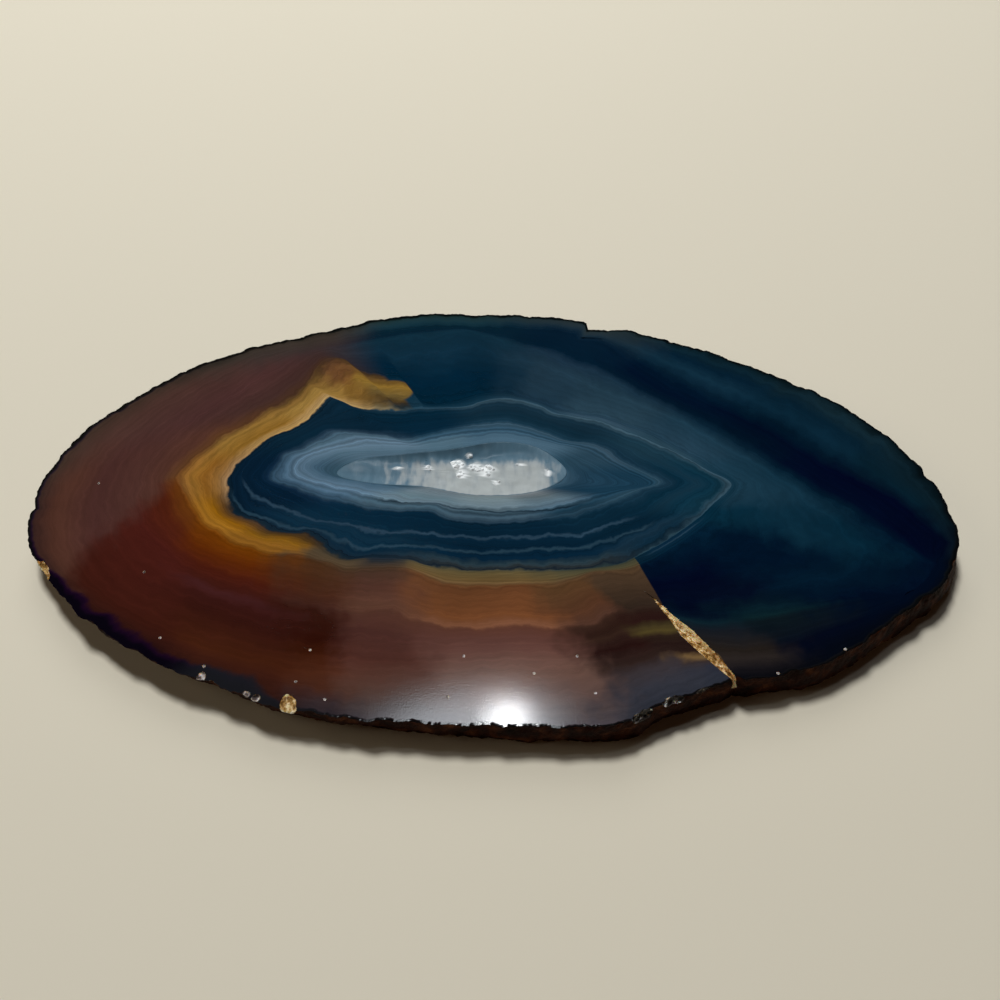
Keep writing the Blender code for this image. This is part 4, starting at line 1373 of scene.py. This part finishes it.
# The floor stands in for the countertop. It is one plain pale square, wider than the view, and lies a
# hair under the slice, so that the sawn back doesn't share its plane.
FLOOR_REACH = 3.0
FLOOR_BELOW = 0.02 * MM
FLOOR_CORNERS = ((-1, -1), (1, -1), (1, 1), (-1, 1))
floor_mesh = bpy.data.meshes.new("floor")
floor_places = [(x * FLOOR_REACH, y * FLOOR_REACH, -FLOOR_BELOW) for x, y in FLOOR_CORNERS]
floor_mesh.from_pydata(floor_places, [], [(0, 1, 2, 3)])
floor_finish, _, _ = new_finish("pale_floor", {
    "Base Color": (*linear((222, 216, 198)), 1.0), "Roughness": 0.7,
})
floor_mesh.materials.append(floor_finish)
place_in_scene("floor", floor_mesh)

# The camera, held about 16 cm from the middle of the slice and looking down on it at 58 degrees,
# which is the photograph's viewing angle.
CAMERA_TARGET = Vector((0.777, -0.363, 5.0)) * MM
CAMERA_DISTANCE = 163.8 * MM
CAMERA_ELEVATION = math.radians(58.0)
camera_data = bpy.data.cameras.new("camera")
camera_data.lens = 40.0
camera_data.sensor_width = 36.0
camera_data.clip_start = 0.01
camera = place_in_scene("camera", camera_data)
camera_way = Vector((0.0, -math.cos(CAMERA_ELEVATION), math.sin(CAMERA_ELEVATION)))
camera.location = CAMERA_TARGET + camera_way * CAMERA_DISTANCE
camera.rotation_euler = (-camera_way).to_track_quat("-Z", "Y").to_euler()
bpy.context.scene.camera = camera

# The light: a bright lamp high behind the slice, a dimmer one low behind it, a warm one on the left
# and a weak one in front, so that the shadow is dark under the near edge and light on the left. The
# polished face mirrors two more near its front edge, a small bright lamp and the wide glow round it.

# Each lamp's name, place, width, power and colour.
LAMPS = (
    ("lamp", (-0.17, 0.52, 0.95), 0.22, 8.7, (1.0, 1.0, 1.0)),
    ("low_light", (-0.05, 0.46, 0.36), 0.35, 0.9, (1.0, 1.0, 1.0)),
    ("left_light", (-1.25, 0.10, 0.70), 0.8, 2.3, (1.0, 0.86, 0.66)),
    ("front_light", (0.10, -0.60, 0.50), 0.6, 0.1, (1.0, 0.42, 0.14)),
)
IMAGE_SPOT = Vector((1.8, -34.4, 5.0)) * MM
IMAGE_DISTANCE = 0.8
IMAGE_SIZE = (0.034, 0.022)
IMAGE_RADIANCE = 44.0
GLOW_SPOT = Vector((-2.8, -35.7, 5.0)) * MM
GLOW_DISTANCE = 0.81
GLOW_SIZE = (0.205, 0.085)
GLOW_RADIANCE = 6.8
GLOW_TINT = (0.93, 1.0, 1.06)
GLOW_FADE = (0.5, 0.2)
ROOM = (0.004, 0.004, 0.004)


def hang_light(name, place, size, power, aim):
    """A round soft light that faces a place."""
    data = bpy.data.lights.new(name, "AREA")
    data.shape = "DISK"
    data.size = size
    data.energy = power
    light = place_in_scene(name, data)
    light.location = place
    light.rotation_euler = (aim - place).to_track_quat("-Z", "Y").to_euler()
    return light


def mirrored_light(name, shape, spot, distance, size, radiance):
    """A flat light whose image the camera sees at a spot on the polished face."""
    view = (spot - camera.location).normalized()
    place = spot + Vector((view.x, view.y, -view.z)) * distance
    area = size[0] * size[1] * (math.pi / 4 if shape == "ELLIPSE" else 1.0)
    light = hang_light(name, place, size[0], radiance * math.pi * area, spot)
    light.data.shape = shape
    light.data.size_y = size[1]
    return light


for name, place, size, power, colour in LAMPS:
    light = hang_light(name, Vector(place), size, power, Vector())
    light.data.color = colour
    light.visible_glossy = False

mirrored_light("lamp_image", "ELLIPSE", IMAGE_SPOT, IMAGE_DISTANCE, IMAGE_SIZE, IMAGE_RADIANCE)
glow = mirrored_light(
    "lamp_glow", "RECTANGLE", GLOW_SPOT, GLOW_DISTANCE, GLOW_SIZE, GLOW_RADIANCE
).data
glow.color = GLOW_TINT
glow.use_nodes = True
from_middle = glow.node_tree.nodes.new("ShaderNodeVectorMath")
from_middle.operation = "DISTANCE"
from_middle.inputs[1].default_value = (0.5, 0.5, 0.0)
glow_place = glow.node_tree.nodes.new("ShaderNodeNewGeometry").outputs["Parametric"]
glow.node_tree.links.new(glow_place, from_middle.inputs[0])
glow_strength = fade(glow.node_tree, from_middle.outputs["Value"], *GLOW_FADE)
connect(glow.node_tree, glow.node_tree.nodes["Emission"].inputs["Strength"], glow_strength)

room = bpy.data.worlds.new("room")
room.use_nodes = True
room.node_tree.nodes["Background"].inputs["Color"].default_value = (*ROOM, 1.0)
bpy.context.scene.world = room
bpy.context.scene.view_settings.view_transform = "Standard"
